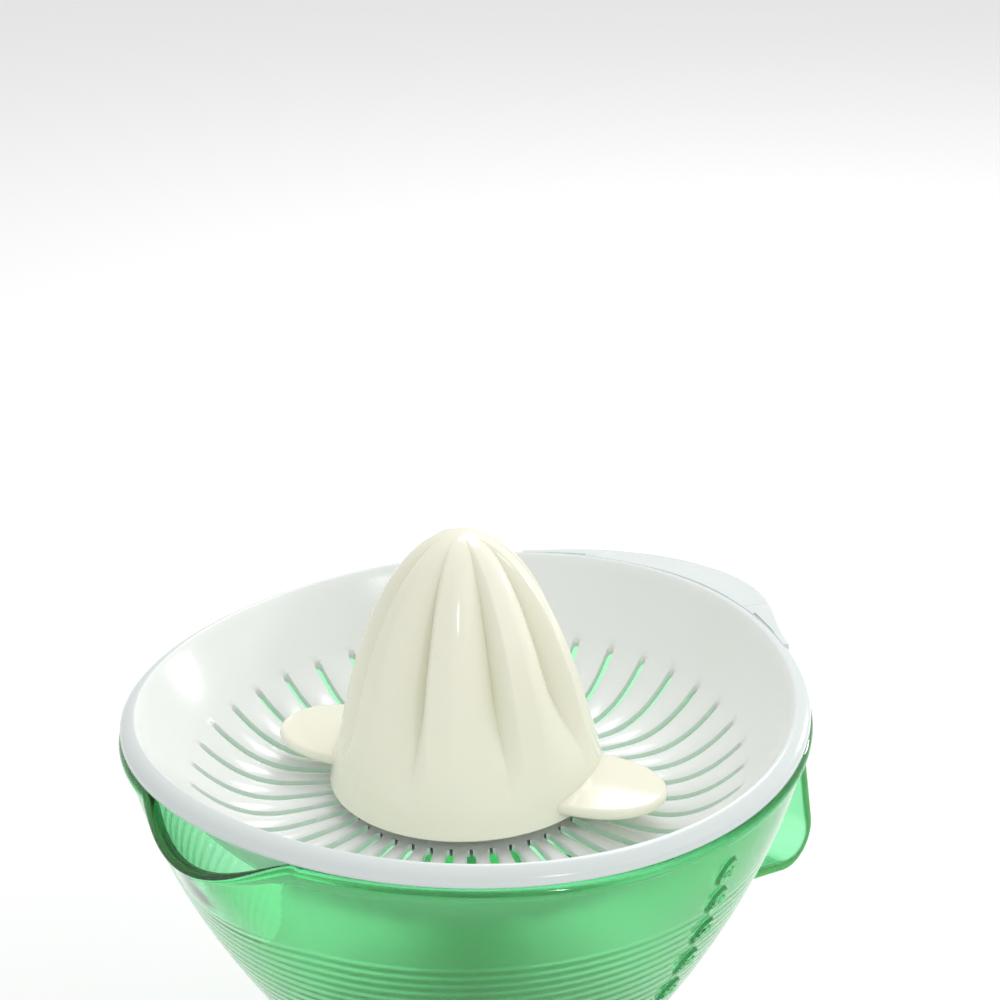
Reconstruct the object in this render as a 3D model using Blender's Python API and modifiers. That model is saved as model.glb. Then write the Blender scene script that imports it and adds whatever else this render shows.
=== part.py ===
"""Electric citrus press: a motor base, a pouring jug, a sieve and two reamer cones."""

import math

import bmesh
import bpy
from mathutils import Matrix, Vector

# Clearances
GAP = 0.0003                # between pieces that rest on or sit in each other
RUN = 0.0004                # round a piece that turns or slides
REST_GAP = 0.0010           # between the chimney's top and the sieve above it

# Motor base
FOOT_HEIGHT = 0.0020        # the table to the underside of the base
FOOT_RADIUS = 0.0070
FOOT_STUD_RADIUS = 0.0020
BASE_HEIGHT = 0.0620
BASE_RADIUS = 0.0700        # at the table
BASE_TOP_RADIUS = 0.0510
BASE_CURVE = 2.0            # how late the side swells on its way down
BASE_WALL = 0.0025
COVER_THICKNESS = 0.0025
EDGE_ROUND = 0.0030
JUG_RECESS = 0.0015         # how deep the jug's foot sits in the base's top
BOSS_HEIGHT = 0.0140        # the boss that centres the jug, above the recess
BOSS_DROP = 0.0095          # how far the boss hangs inside the base
LUG_RADIUS = 0.0045
LUG_HEIGHT = 0.0100
CORD_HEIGHT = 0.0140
CORD_BORE_RADIUS = 0.0034
GROMMET_RADIUS = 0.0062
GROMMET_LIP = 0.0012        # the flanges' reach beyond the neck
GROMMET_FLANGE = 0.0020
GROMMET_NOSE = 0.0070
GROMMET_STANDOFF = 0.0009   # lets its flat flange clear the round wall

# Screws
SCREW_RADIUS = 0.0014
SCREW_HEAD_RADIUS = 0.0028
SCREW_HEAD_HEIGHT = 0.0012
SCREW_LENGTH = 0.0075
SCREW_HOLE_DEPTH = 0.0100    # from the chassis plate's underside up into a post
SCREW_SINK = 0.0001         # how far a cover screw's head sits above the underside

# Drive train
CHASSIS_Z = 0.0290
CHASSIS_THICKNESS = 0.0025
CHASSIS_RADIUS = 0.0560
POST_RADIUS = 0.0035
POST_PLACES = ((-0.022, 0.026), (-0.022, -0.026), (0.030, -0.028), (0.036, 0.030))
MODULE = 0.00075            # tooth size: pitch diameter over the number of teeth
WHEEL_TEETH = 48
PINION_TEETH = 12
TOOTH_OUT = 0.75            # a tooth's reach beyond its pitch circle, in modules
TOOTH_IN = 1.15             # its root, inside the pitch circle, in modules
TIP_SHARE = 0.22
ROOT_SHARE = 0.54
WHEEL_WIDTH = 0.0050
MOTOR_REACH = 0.0390        # the press's axis to the motor's
MOTOR_RADIUS = 0.0180
MOTOR_HEIGHT = 0.0195
MOTOR_WALL = 0.0012
END_PLATE = 0.0012
COIL_RADIUS = 0.0160
COIL_HEIGHT = 0.0150
ROTOR_RADIUS = 0.0085
ROTOR_HEIGHT = 0.0140
ROTOR_SHAFT_RADIUS = 0.0012
AXLE_RADIUS = 0.0015
CLIP_RADIUS = 0.0035
CLIP_THICKNESS = 0.0008

# Drive shaft and press switch
SHAFT_RADIUS = 0.0032
SHAFT_FOOT_Z = 0.0190
SHAFT_ABOVE_SLEEVE = 0.0280
SHAFT_ROUND_BELOW = 0.0040  # where it turns six-sided, below the chimney's top
SHAFT_CLIP_WIDTH = 0.0012
PRESS_TRAVEL = 0.0025
BUSH_RADIUS = 0.0055
BUSH_FLANGE_RADIUS = 0.0075
BUSH_FLANGE = 0.0010
BUSH_LENGTH = 0.0060
SEAL_HEIGHT = 0.0030
CUP_RADIUS = 0.0055
CUP_HEIGHT = 0.0075
CUP_FLOOR = 0.0020
CUP_ARM_REACH = 0.0210
CUP_ARM_WIDTH = 0.0060
CUP_ARM_THICKNESS = 0.0020
SPRING_RADIUS = 0.0044
SPRING_WIRE = 0.0006
SPRING_TURNS = 4.0
SPRING_POST_RADIUS = 0.0028
SPRING_POST_HEIGHT = 0.0050
SWITCH_SIZE = (0.0120, 0.0062, 0.0070)
SWITCH_REACH = 0.0180
PLUNGER_RADIUS = 0.0014
PLUNGER_DEPTH = 0.0050

# Jug
RIM_RADIUS = 0.0860         # the sieve's rim, which covers the jug's
JUG_HEIGHT = 0.0970         # its foot to the top of its bead
JUG_FOOT_RADIUS = 0.0380    # where the curve of the wall would end
JUG_CURVE = 1.6
JUG_WALL = 0.0022
JUG_FLOOR = 0.0025
FOOT_RING_RADIUS = 0.0400
FOOT_RING_HEIGHT = 0.0025
FOOT_RING_WIDTH = 0.0025
BEAD_HEIGHT = 0.0034
BEAD_WIDTH = 0.0034
CHIMNEY_RADIUS = 0.0130
SPOUT_REACH = 0.0055        # beyond the rim
SPOUT_DIP = 0.0066
SPOUT_HALF_ANGLE = math.radians(16.5)
SPOUT_FADE = 0.0400         # how far down the wall the spout runs out
HANDLE_REACH = 0.1213       # from the press's axis
HANDLE_WIDTH = 0.0430
HANDLE_THICKNESS = 0.0030
# Its corners as (from the axis, below the sieve's rim, bend radius), from the rim down
HANDLE_SHOULDER = (0.0975, 0.0085, 0.0120)
HANDLE_BACK = (0.1153, 0.0560, 0.0500)
HANDLE_HEEL = (0.1224, 0.0974, 0.0094)
HANDLE_ROOT = 0.0794        # where its lower arm meets the wall, below the sieve's rim

# Sieve
SKIRT_HEIGHT = 0.0040
FLANGE_WIDTH = 0.0040
FLANGE_THICKNESS = 0.0018
SIEVE_WALL = 0.0018
DISH_DEPTH = 0.0290
DISH_CURVE = 2.2
GUTTER_RADIUS = 0.0480
LAND_RADIUS = 0.0260        # the flat middle, which the cone covers
LAND_RISE = 0.0022          # above the gutter
NECK_RADIUS = 0.0092
NECK_HEIGHT = 0.0043
NECK_BORE = 0.0064
COLLAR_WALL = 0.0018
COLLAR_DROP = 0.0080
SLOT_COUNT = 40
SLOT_WIDTH = 0.0022
SLOT_INNER = 0.0310
SLOT_TO_RIM = 0.0160        # the plain wall outside the slots
TAB_REACH = 0.1025
TAB_HALF_ANGLE = math.radians(33.0)
TAB_DROOP = 0.0040
TAB_THICKNESS = 0.0020
SADDLE = 0.0025             # how far the rim rises at the spout and the handle, and falls between

# Drive sleeve and cones
SLEEVE_RADIUS = 0.0060
SLEEVE_FLANGE_RADIUS = 0.0088
SLEEVE_FLANGE = 0.0012
SLEEVE_HEAD = 0.0094        # the six-sided head above the flange
CONE_BASE_DEPTH = 0.0232    # the large cone's edge, below the sieve's rim
CONE_RADIUS = 0.0352
CONE_HEIGHT = 0.0665
CONE_TAPER = 0.42
CONE_WALL = 0.0020
LOBES = 8
GROOVE_TURN = math.radians(18.0)
GROOVE_START = 0.0100       # above the cone's edge
GROOVE_DEPTH = 0.0062
PADDLE_TO_WALL = 0.0165     # from a paddle's tip out to the slots' ends
PADDLE_WIDTH = 0.0290
PADDLE_THICKNESS = 0.0030
PADDLE_LIFT = 0.0018
PADDLE_TURN = math.radians(108.0)
SMALL_RADIUS = 0.0215
SMALL_HEIGHT = 0.0480
SMALL_WALL = 0.0020
SMALL_HUB_RADIUS = 0.0090
SMALL_GROOVE = 0.0020
SMALL_FLANGE_RADIUS = 0.0270
SMALL_FLANGE = 0.0016

ROUND_STEPS = 60            # segments round the jug
BASE_STEPS = 32
CONE_STEPS = 48
WALL_RINGS = 7
SMALL_STEPS = 20
HOLE_SIDES = 8
POST_SIDES = 10
PIN_SIDES = 16
STEP = 0.0005                # over which a slope is measured
PAST = 0.0010                # how far a cutter runs past the face it leaves by
MERGE = 0.00001

# Levels and places that follow from the sizes
BASE_TOP = FOOT_HEIGHT + BASE_HEIGHT
RECESS_Z = BASE_TOP - JUG_RECESS
CEILING_Z = RECESS_Z - BASE_WALL
JUG_Z = RECESS_Z + GAP
BEAD_TOP = JUG_Z + JUG_HEIGHT
JUG_FLOOR_TOP = JUG_Z + FOOT_RING_HEIGHT + JUG_FLOOR
RIM_TOP = BEAD_TOP + GAP + SKIRT_HEIGHT
SLOT_OUTER = RIM_RADIUS - SLOT_TO_RIM
LAND_Z = RIM_TOP - DISH_DEPTH + LAND_RISE
NECK_TOP = LAND_Z + NECK_HEIGHT
CHIMNEY_TOP = LAND_Z - SIEVE_WALL - REST_GAP
CHIMNEY_BORE = CHIMNEY_RADIUS - JUG_WALL
BOSS_RADIUS = CHIMNEY_BORE - RUN
BOSS_TOP = RECESS_Z + BOSS_HEIGHT
SLEEVE_FLANGE_TOP = NECK_TOP + GAP + SLEEVE_FLANGE
SLEEVE_TOP = SLEEVE_FLANGE_TOP + SLEEVE_HEAD
SHAFT_TOP = SLEEVE_TOP + SHAFT_ABOVE_SLEEVE
CONE_Z = RIM_TOP - CONE_BASE_DEPTH
SMALL_Z = SLEEVE_FLANGE_TOP + PRESS_TRAVEL + GAP
COVER_TOP = FOOT_HEIGHT + COVER_THICKNESS
CHASSIS_TOP = CHASSIS_Z + CHASSIS_THICKNESS
SCREW_HOLE = SCREW_RADIUS + GAP
CENTRE_DISTANCE = MODULE * (WHEEL_TEETH + PINION_TEETH) / 2
IDLER_ANGLE = math.acos(MOTOR_REACH / 2 / CENTRE_DISTANCE)
SHAFT_CLIP_Z = CHASSIS_TOP + BUSH_FLANGE + 2 * GAP + PRESS_TRAVEL
OUTPUT_Z = SHAFT_CLIP_Z + CLIP_THICKNESS + GAP
IDLER_Z = CHASSIS_TOP + GAP
IDLER_WHEEL_Z = OUTPUT_Z + WHEEL_WIDTH + 2 * GAP
CUP_Z = SHAFT_FOOT_Z - GAP - CUP_FLOOR
AXIS_X = (SPOUT_REACH + RIM_RADIUS - HANDLE_REACH) / 2


def base_radius(z):
    """Outer radius of the motor base at a height."""
    down = (BASE_TOP - z) / BASE_HEIGHT
    return BASE_TOP_RADIUS + (BASE_RADIUS - BASE_TOP_RADIUS) * (1 - (1 - down) ** BASE_CURVE)


def jug_radius(z):
    """Outer radius of the jug's wall at a height, before the spout is pulled out."""
    down = (RIM_TOP - z) / (RIM_TOP - JUG_Z)
    swell = 1 - down ** JUG_CURVE
    return max(FOOT_RING_RADIUS, JUG_FOOT_RADIUS + (RIM_RADIUS - JUG_FOOT_RADIUS) * swell)


def jug_inside(z):
    """Inner radius of the jug's wall, one wall thickness in along its slope."""
    slope = (jug_radius(z + STEP) - jug_radius(z - STEP)) / (2 * STEP)
    return jug_radius(z) - JUG_WALL * math.hypot(1, slope)


def dish_z(radius):
    """Height of the sieve's upper face at a radius."""
    if radius > GUTTER_RADIUS:
        out = (radius - GUTTER_RADIUS) / (RIM_RADIUS - FLANGE_WIDTH - GUTTER_RADIUS)
        return RIM_TOP - DISH_DEPTH * (1 - out ** DISH_CURVE)
    inward = min(1.0, (GUTTER_RADIUS - radius) / (GUTTER_RADIUS - LAND_RADIUS))
    return RIM_TOP - DISH_DEPTH + LAND_RISE * inward ** 1.5


def cone_radius(share):
    """Outer radius of the large cone at a share of its height, as a part of its base radius."""
    return (1 - CONE_TAPER * share) * math.sqrt(max(0.0, 1 - share ** 4))


def material(name, colour, roughness, metallic=0.0, alpha=1.0):
    made = bpy.data.materials.new(name)
    made.use_nodes = True
    shader = made.node_tree.nodes["Principled BSDF"]
    shader.inputs["Base Color"].default_value = (*colour, 1.0)
    shader.inputs["Roughness"].default_value = roughness
    shader.inputs["Metallic"].default_value = metallic
    shader.inputs["Alpha"].default_value = alpha
    return made


def collection(name):
    made = bpy.data.collections.new(name)
    bpy.context.scene.collection.children.link(made)
    return made


def clear_scene():
    for old in list(bpy.data.objects):
        bpy.data.objects.remove(old)


def empty(name, place, parent=None):
    made = bpy.data.objects.new(name, None)
    made.location = place
    made.parent = parent
    PARTS.objects.link(made)
    return made


def add(name, data, parent, place=(0, 0, 0), look=None):
    """A part, or with no look a hidden helper that cuts or joins."""
    made = bpy.data.objects.new(name, data)
    made.location = place
    made.parent = parent
    if look is None:
        made.hide_render = True
        made.display_type = "WIRE"
        CUTTERS.objects.link(made)
    else:
        data.materials.append(look)
        PARTS.objects.link(made)
    return made


def turned(name, profile, parent, place=(0, 0, 0), look=None, steps=ROUND_STEPS):
    """A profile of (radius, height) turned about Z. One that leaves the axis is a closed loop."""
    mesh = bpy.data.meshes.new(name)
    edges = [(i, i + 1) for i in range(len(profile) - 1)]
    if profile[0][0] > 0:
        edges.append((len(profile) - 1, 0))
    mesh.from_pydata([(r, 0, z) for r, z in profile], edges, [])
    made = add(name, mesh, parent, place, look)
    screw = made.modifiers.new("Turn", "SCREW")
    screw.steps = steps
    screw.render_steps = steps
    screw.use_merge_vertices = True
    screw.merge_threshold = MERGE
    return made


def extruded(name, outline, low, high, parent, place=(0, 0, 0), look=None):
    """A flat outline of (x, y) points, anticlockwise, raised from low to high."""
    mesh = bpy.data.meshes.new(name)
    shape = bmesh.new()
    face = shape.faces.new([shape.verts.new((x, y, low)) for x, y in outline])
    raised = bmesh.ops.extrude_face_region(shape, geom=[face])
    top = [item for item in raised["geom"] if isinstance(item, bmesh.types.BMVert)]
    bmesh.ops.translate(shape, vec=(0, 0, high - low), verts=top)
    bmesh.ops.recalc_face_normals(shape, faces=shape.faces)
    shape.to_mesh(mesh)
    shape.free()
    return add(name, mesh, parent, place, look)


def block(name, size, centre, parent, look=None):
    mesh = bpy.data.meshes.new(name)
    shape = bmesh.new()
    bmesh.ops.create_cube(shape, size=1.0)
    bmesh.ops.scale(shape, vec=size, verts=shape.verts)
    shape.to_mesh(mesh)
    shape.free()
    return add(name, mesh, parent, centre, look)


def rod(name, radius, low, high, parent, place=(0, 0), look=None, sides=SMALL_STEPS):
    """An upright cylinder or prism between two heights."""
    mesh = bpy.data.meshes.new(name)
    shape = bmesh.new()
    bmesh.ops.create_cone(
        shape, cap_ends=True, segments=sides, radius1=radius, radius2=radius, depth=high - low
    )
    shape.to_mesh(mesh)
    shape.free()
    return add(name, mesh, parent, (*place, (low + high) / 2), look)


def combine(target, helper, operation):
    made = target.modifiers.new(helper.name, "BOOLEAN")
    made.operation = operation
    made.object = helper
    made.solver = "EXACT"


def cut(target, helper):
    combine(target, helper, "DIFFERENCE")


def join(target, helper):
    combine(target, helper, "UNION")


def settle(made):
    """Keeps an object's evaluated mesh and drops its modifiers, so that its points can be moved."""
    bpy.context.view_layer.update()
    evaluated = made.evaluated_get(bpy.context.evaluated_depsgraph_get())
    mesh = bpy.data.meshes.new_from_object(evaluated)
    made.modifiers.clear()
    made.data = mesh
    return made


def move_points(made, rule):
    for point in made.data.vertices:
        point.co = rule(point.co)
    return made


def circle(radius, count, start=0.0):
    turns = [start + 2 * math.pi * i / count for i in range(count)]
    return [(radius * math.cos(turn), radius * math.sin(turn)) for turn in turns]


def saddle(point):
    """The rim's gentle wave: up towards the spout and the handle, down between them."""
    radius = math.hypot(point.x, point.y)
    share = max(0.0, (radius - GUTTER_RADIUS) / (RIM_RADIUS - GUTTER_RADIUS))
    wave = math.cos(2 * math.atan2(point.y, point.x))
    height = max(0.0, 1 - (RIM_TOP - point.z) / SPOUT_FADE)
    return Vector((point.x, point.y, point.z + SADDLE * wave * min(1.0, share) * height))


def pull_spout(point):
    """The pouring lip: the wall bows outward and its edge dips, fading out down the wall."""
    angle = abs(math.atan2(point.y, -point.x)) / SPOUT_HALF_ANGLE
    height = 1 - (BEAD_TOP - point.z) / SPOUT_FADE
    if angle >= 1 or height <= 0 or math.hypot(point.x, point.y) < FOOT_RING_RADIUS:
        return point
    bell = math.cos(math.pi / 2 * angle) * height ** 1.5
    radius = math.hypot(point.x, point.y)
    out = 1 + SPOUT_REACH * bell / radius
    return Vector((point.x * out, point.y * out, point.z - SPOUT_DIP * bell * height))


def gear_outline(teeth, turn):
    """Straight-sided teeth, the first centred on the angle given."""
    pitch_radius = MODULE * teeth / 2
    pitch = 2 * math.pi / teeth
    corners = (
        (-ROOT_SHARE, -TOOTH_IN),
        (-TIP_SHARE, TOOTH_OUT),
        (TIP_SHARE, TOOTH_OUT),
        (ROOT_SHARE, -TOOTH_IN),
    )
    points = []
    for tooth in range(teeth):
        for side, reach in corners:
            angle = turn + pitch * (tooth + side / 2)
            radius = pitch_radius + MODULE * reach
            points.append((radius * math.cos(angle), radius * math.sin(angle)))
    return points


def screw_down(name, place, head_z, parent, look, length=SCREW_LENGTH):
    """A round-headed screw that enters upwards from head_z, the underside of its head."""
    profile = [
        (0, head_z + length),
        (SCREW_RADIUS, head_z + length - SCREW_RADIUS / 2),
        (SCREW_RADIUS, head_z),
        (SCREW_HEAD_RADIUS, head_z),
        (SCREW_HEAD_RADIUS, head_z - SCREW_HEAD_HEIGHT / 2),
        (SCREW_HEAD_RADIUS / 2, head_z - SCREW_HEAD_HEIGHT),
        (0, head_z - SCREW_HEAD_HEIGHT),
    ]
    return turned(name, profile, parent, (*place, 0), look, steps=HOLE_SIDES)


def band_outline(path, thickness):
    """The outline of a flat band whose middle line is the path."""
    left = []
    right = []
    for i, point in enumerate(path):
        before = path[max(0, i - 1)]
        after = path[min(len(path) - 1, i + 1)]
        along = Vector((after[0] - before[0], after[1] - before[1])).normalized()
        side = Vector((-along.y, along.x)) * thickness / 2
        left.append((point[0] + side.x, point[1] + side.y))
        right.append((point[0] - side.x, point[1] - side.y))
    return left + right[::-1]


def bend(corner, before, after, radius, steps=5):
    """Points round a corner of a path, from one straight run to the next."""
    corner, before, after = Vector(corner), Vector(before), Vector(after)
    first = (before - corner).normalized()
    last = (after - corner).normalized()
    half = first.angle(last) / 2
    middle = corner + (first + last).normalized() * radius / math.sin(half)
    start = corner + first * radius / math.tan(half) - middle
    end = corner + last * radius / math.tan(half) - middle
    sweep = start.angle_signed(end)
    turns = [math.atan2(start.y, start.x) - sweep * i / steps for i in range(steps + 1)]
    return [(middle.x + radius * math.cos(turn), middle.y + radius * math.sin(turn)) for turn in turns]


def lug_places():
    reach = base_radius(FOOT_HEIGHT + LUG_HEIGHT) - BASE_WALL - LUG_RADIUS * 0.8
    return circle(reach, 4, math.pi / 4)


def make_housing(press, look):
    levels = [BASE_TOP - EDGE_ROUND - (BASE_HEIGHT - EDGE_ROUND) * i / 5 for i in range(6)]
    outside = [(base_radius(z), z) for z in levels]
    inside = [(base_radius(z) - BASE_WALL, z) for z in reversed(levels[1:])]
    shoulder = base_radius(levels[0])
    profile = [
        (BUSH_RADIUS + GAP, BOSS_TOP),
        (BOSS_RADIUS, BOSS_TOP),
        (BOSS_RADIUS, RECESS_Z),
        (FOOT_RING_RADIUS + RUN, RECESS_Z),
        (FOOT_RING_RADIUS + RUN, BASE_TOP),
        (shoulder - EDGE_ROUND, BASE_TOP),
        (shoulder - EDGE_ROUND * 0.3, BASE_TOP - EDGE_ROUND * 0.3),
        *outside,
        *inside,
        (shoulder - BASE_WALL - EDGE_ROUND, CEILING_Z),
        (BOSS_RADIUS, CEILING_Z),
        (BOSS_RADIUS, CEILING_Z - BOSS_DROP),
        (BUSH_RADIUS + GAP, CEILING_Z - BOSS_DROP),
    ]
    housing = turned("base_housing", profile, press, look=look, steps=BASE_STEPS)
    for i, place in enumerate(POST_PLACES):
        post = (f"post_{i}", POST_RADIUS, CHASSIS_TOP + GAP, CEILING_Z + GAP)
        join(housing, rod(*post, press, place, sides=POST_SIDES))
        hole = (f"post_hole_{i}", SCREW_HOLE, CHASSIS_Z, CHASSIS_Z + SCREW_HOLE_DEPTH)
        cut(housing, rod(*hole, press, place, sides=HOLE_SIDES))
    for i, place in enumerate(lug_places()):
        lug = (f"lug_{i}", LUG_RADIUS, COVER_TOP + GAP, COVER_TOP + LUG_HEIGHT)
        join(housing, rod(*lug, press, place, sides=POST_SIDES))
        hole = (f"lug_hole_{i}", SCREW_HOLE, FOOT_HEIGHT, COVER_TOP + LUG_HEIGHT - PAST)
        cut(housing, rod(*hole, press, place, sides=HOLE_SIDES))
    neck = GROMMET_RADIUS - GROMMET_LIP
    cord_hole = rod("cord_hole", neck + GAP, -neck, neck, press)
    face_out(cord_hole)
    cut(housing, cord_hole)


def face_out(made):
    """Stands a turned piece square to the base's side, where the cord would leave it."""
    narrowing = (base_radius(CORD_HEIGHT - STEP) - base_radius(CORD_HEIGHT + STEP)) / (2 * STEP)
    made.rotation_euler.x = math.atan(narrowing) - math.pi / 2
    made.location = (0, base_radius(CORD_HEIGHT), CORD_HEIGHT)


def make_grommet(press, look):
    """The rubber bush in the base's wall that a cord would pass through."""
    outer = GROMMET_RADIUS
    neck = GROMMET_RADIUS - GROMMET_LIP
    wall_in = -BASE_WALL - GAP - GROMMET_STANDOFF
    profile = [
        (CORD_BORE_RADIUS, GROMMET_NOSE),
        (CORD_BORE_RADIUS + GROMMET_LIP, GROMMET_NOSE),
        (outer, GROMMET_FLANGE),
        (outer, GROMMET_STANDOFF),
        (neck, GROMMET_STANDOFF),
        (neck, wall_in),
        (outer, wall_in),
        (outer, wall_in - GROMMET_FLANGE / 2),
        (CORD_BORE_RADIUS, wall_in - GROMMET_FLANGE / 2),
    ]
    face_out(turned("cord_grommet", profile, press, look=look, steps=SMALL_STEPS))


def make_cover(press, look):
    radius = base_radius(FOOT_HEIGHT) - BASE_WALL - GAP
    profile = [
        (0, COVER_TOP + SPRING_POST_HEIGHT),
        (SPRING_POST_RADIUS, COVER_TOP + SPRING_POST_HEIGHT),
        (SPRING_POST_RADIUS, COVER_TOP),
        (radius - 0.0006, COVER_TOP),
        (radius, FOOT_HEIGHT),
        (0, FOOT_HEIGHT),
    ]
    cover = turned("base_cover", profile, press, look=look, steps=BASE_STEPS)
    for i, place in enumerate(lug_places()):
        hole = (f"cover_hole_{i}", SCREW_HOLE, 0, COVER_TOP + PAST)
        cut(cover, rod(*hole, press, place, sides=HOLE_SIDES))
        sink = (f"cover_sink_{i}", SCREW_HEAD_RADIUS + GAP, 0, FOOT_HEIGHT + SCREW_HEAD_HEIGHT + GAP)
        cut(cover, rod(*sink, press, place, sides=POST_SIDES))
    for i, place in enumerate(foot_places()):
        hole = (f"foot_hole_{i}", FOOT_STUD_RADIUS + GAP, 0, COVER_TOP + PAST)
        cut(cover, rod(*hole, press, place, sides=HOLE_SIDES))


def foot_places():
    return circle(base_radius(FOOT_HEIGHT) - BASE_WALL - FOOT_RADIUS - 0.003, 4)


def make_feet_and_screws(press, rubber, steel):
    for i, place in enumerate(foot_places()):
        profile = [
            (0, COVER_TOP + 0.0005),
            (FOOT_STUD_RADIUS, COVER_TOP),
            (FOOT_STUD_RADIUS, FOOT_HEIGHT - GAP),
            (FOOT_RADIUS, FOOT_HEIGHT - GAP),
            (FOOT_RADIUS - 0.0006, 0),
            (0, 0),
        ]
        turned(f"foot_{i + 1}", profile, press, (*place, 0), rubber, steps=PIN_SIDES)
    head = FOOT_HEIGHT + SCREW_HEAD_HEIGHT + SCREW_SINK
    for i, place in enumerate(lug_places()):
        screw_down(f"cover_screw_{i + 1}", place, head, press, steel)
    for i, place in enumerate(POST_PLACES):
        screw_down(f"chassis_screw_{i + 1}", place, CHASSIS_Z - GAP, press, steel)


def idler_place():
    return (CENTRE_DISTANCE * math.cos(IDLER_ANGLE), CENTRE_DISTANCE * math.sin(IDLER_ANGLE))


def make_chassis(press, look):
    """The plate that carries the motor, the idler's axle and the lower bush."""
    size = (CHASSIS_RADIUS, CHASSIS_Z, CHASSIS_TOP)
    chassis = rod("chassis_plate", *size, press, look=look, sides=BASE_STEPS)
    holes = [(BUSH_RADIUS + GAP, (0, 0)), (AXLE_RADIUS + GAP, idler_place())]
    holes.append((ROTOR_SHAFT_RADIUS + 2 * RUN, (MOTOR_REACH, 0)))
    holes += [(SCREW_HOLE, place) for place in POST_PLACES]
    for i, (radius, place) in enumerate(holes):
        hole = (f"chassis_hole_{i}", radius, CHASSIS_Z - PAST, CHASSIS_TOP + PAST)
        cut(chassis, rod(*hole, press, place, sides=POST_SIDES))


def bush(name, low, parent, look, flange_above):
    """A plain bush with a flange at one end."""
    high = low + BUSH_LENGTH
    bore = SHAFT_RADIUS + RUN
    if flange_above:
        outside = [
            (BUSH_FLANGE_RADIUS, high),
            (BUSH_FLANGE_RADIUS, high - BUSH_FLANGE),
            (BUSH_RADIUS, high - BUSH_FLANGE),
            (BUSH_RADIUS, low),
        ]
    else:
        outside = [
            (BUSH_RADIUS, high),
            (BUSH_RADIUS, low + BUSH_FLANGE),
            (BUSH_FLANGE_RADIUS, low + BUSH_FLANGE),
            (BUSH_FLANGE_RADIUS, low),
        ]
    turned(name, [(bore, high), *outside, (bore, low)], parent, look=look, steps=SMALL_STEPS)


def make_bushes(press, bronze, rubber):
    bush("lower_bush", CHASSIS_TOP + GAP + BUSH_FLANGE - BUSH_LENGTH, press, bronze, True)
    bush("upper_bush", CEILING_Z - BOSS_DROP - GAP - BUSH_FLANGE, press, bronze, False)
    low = BOSS_TOP - SEAL_HEIGHT
    lip = SHAFT_RADIUS + RUN
    profile = [
        (lip, BOSS_TOP + 0.0008),
        (lip + 0.0008, BOSS_TOP + 0.0008),
        (lip + 0.0014, BOSS_TOP - 0.0004),
        (BUSH_RADIUS, BOSS_TOP),
        (BUSH_RADIUS, low),
        (lip + 0.0010, low),
        (lip + 0.0010, low + 0.0010),
        (lip, low + 0.0010),
    ]
    turned("shaft_seal", profile, press, look=rubber, steps=SMALL_STEPS)


def make_motor(press, steel, copper, dark, brass):
    """The motor hangs under the chassis plate: its can, winding and end plate, and the rotor."""
    top = CHASSIS_Z - GAP
    bottom = top - END_PLATE - GAP - MOTOR_HEIGHT
    place = (MOTOR_REACH, 0, 0)
    pin = ROTOR_SHAFT_RADIUS + RUN
    can = [
        (pin, bottom + MOTOR_WALL),
        (MOTOR_RADIUS - MOTOR_WALL, bottom + MOTOR_WALL),
        (MOTOR_RADIUS - MOTOR_WALL, bottom + MOTOR_HEIGHT),
        (MOTOR_RADIUS, bottom + MOTOR_HEIGHT),
        (MOTOR_RADIUS, bottom),
        (pin, bottom),
    ]
    turned("motor_can", can, press, place, steel, steps=36)
    plate = [(pin, top), (MOTOR_RADIUS, top), (MOTOR_RADIUS, top - END_PLATE), (pin, top - END_PLATE)]
    turned("motor_end_plate", plate, press, place, steel, steps=36)
    coil_z = bottom + MOTOR_WALL + 0.0015
    coil_bore = ROTOR_RADIUS + 2 * RUN
    coil = [
        (coil_bore, coil_z + COIL_HEIGHT),
        (COIL_RADIUS, coil_z + COIL_HEIGHT),
        (COIL_RADIUS, coil_z),
        (coil_bore, coil_z),
    ]
    turned("motor_coil", coil, press, place, copper, steps=32)
    spin = empty("motor_axis", place, press)
    rotor_z = coil_z + (COIL_HEIGHT - ROTOR_HEIGHT) / 2
    hole = ROTOR_SHAFT_RADIUS + GAP
    rotor = [
        (hole, rotor_z + ROTOR_HEIGHT),
        (ROTOR_RADIUS, rotor_z + ROTOR_HEIGHT),
        (ROTOR_RADIUS, rotor_z),
        (hole, rotor_z),
    ]
    turned("rotor_magnet", rotor, spin, look=dark, steps=SMALL_STEPS)
    pinion_z = IDLER_WHEEL_Z - GAP
    pinion_top = IDLER_WHEEL_Z + WHEEL_WIDTH + GAP
    shaft = ("rotor_shaft", ROTOR_SHAFT_RADIUS, bottom - PAST, pinion_top + PAST)
    rod(*shaft, spin, look=steel, sides=PIN_SIDES)
    towards_idler = math.pi - IDLER_ANGLE
    teeth = gear_outline(PINION_TEETH, towards_idler)
    pinion = extruded("motor_pinion", teeth, pinion_z, pinion_top, spin, look=brass)
    cut(pinion, rod("pinion_bore", hole, pinion_z - PAST, pinion_top + PAST, spin, sides=PIN_SIDES))


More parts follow.
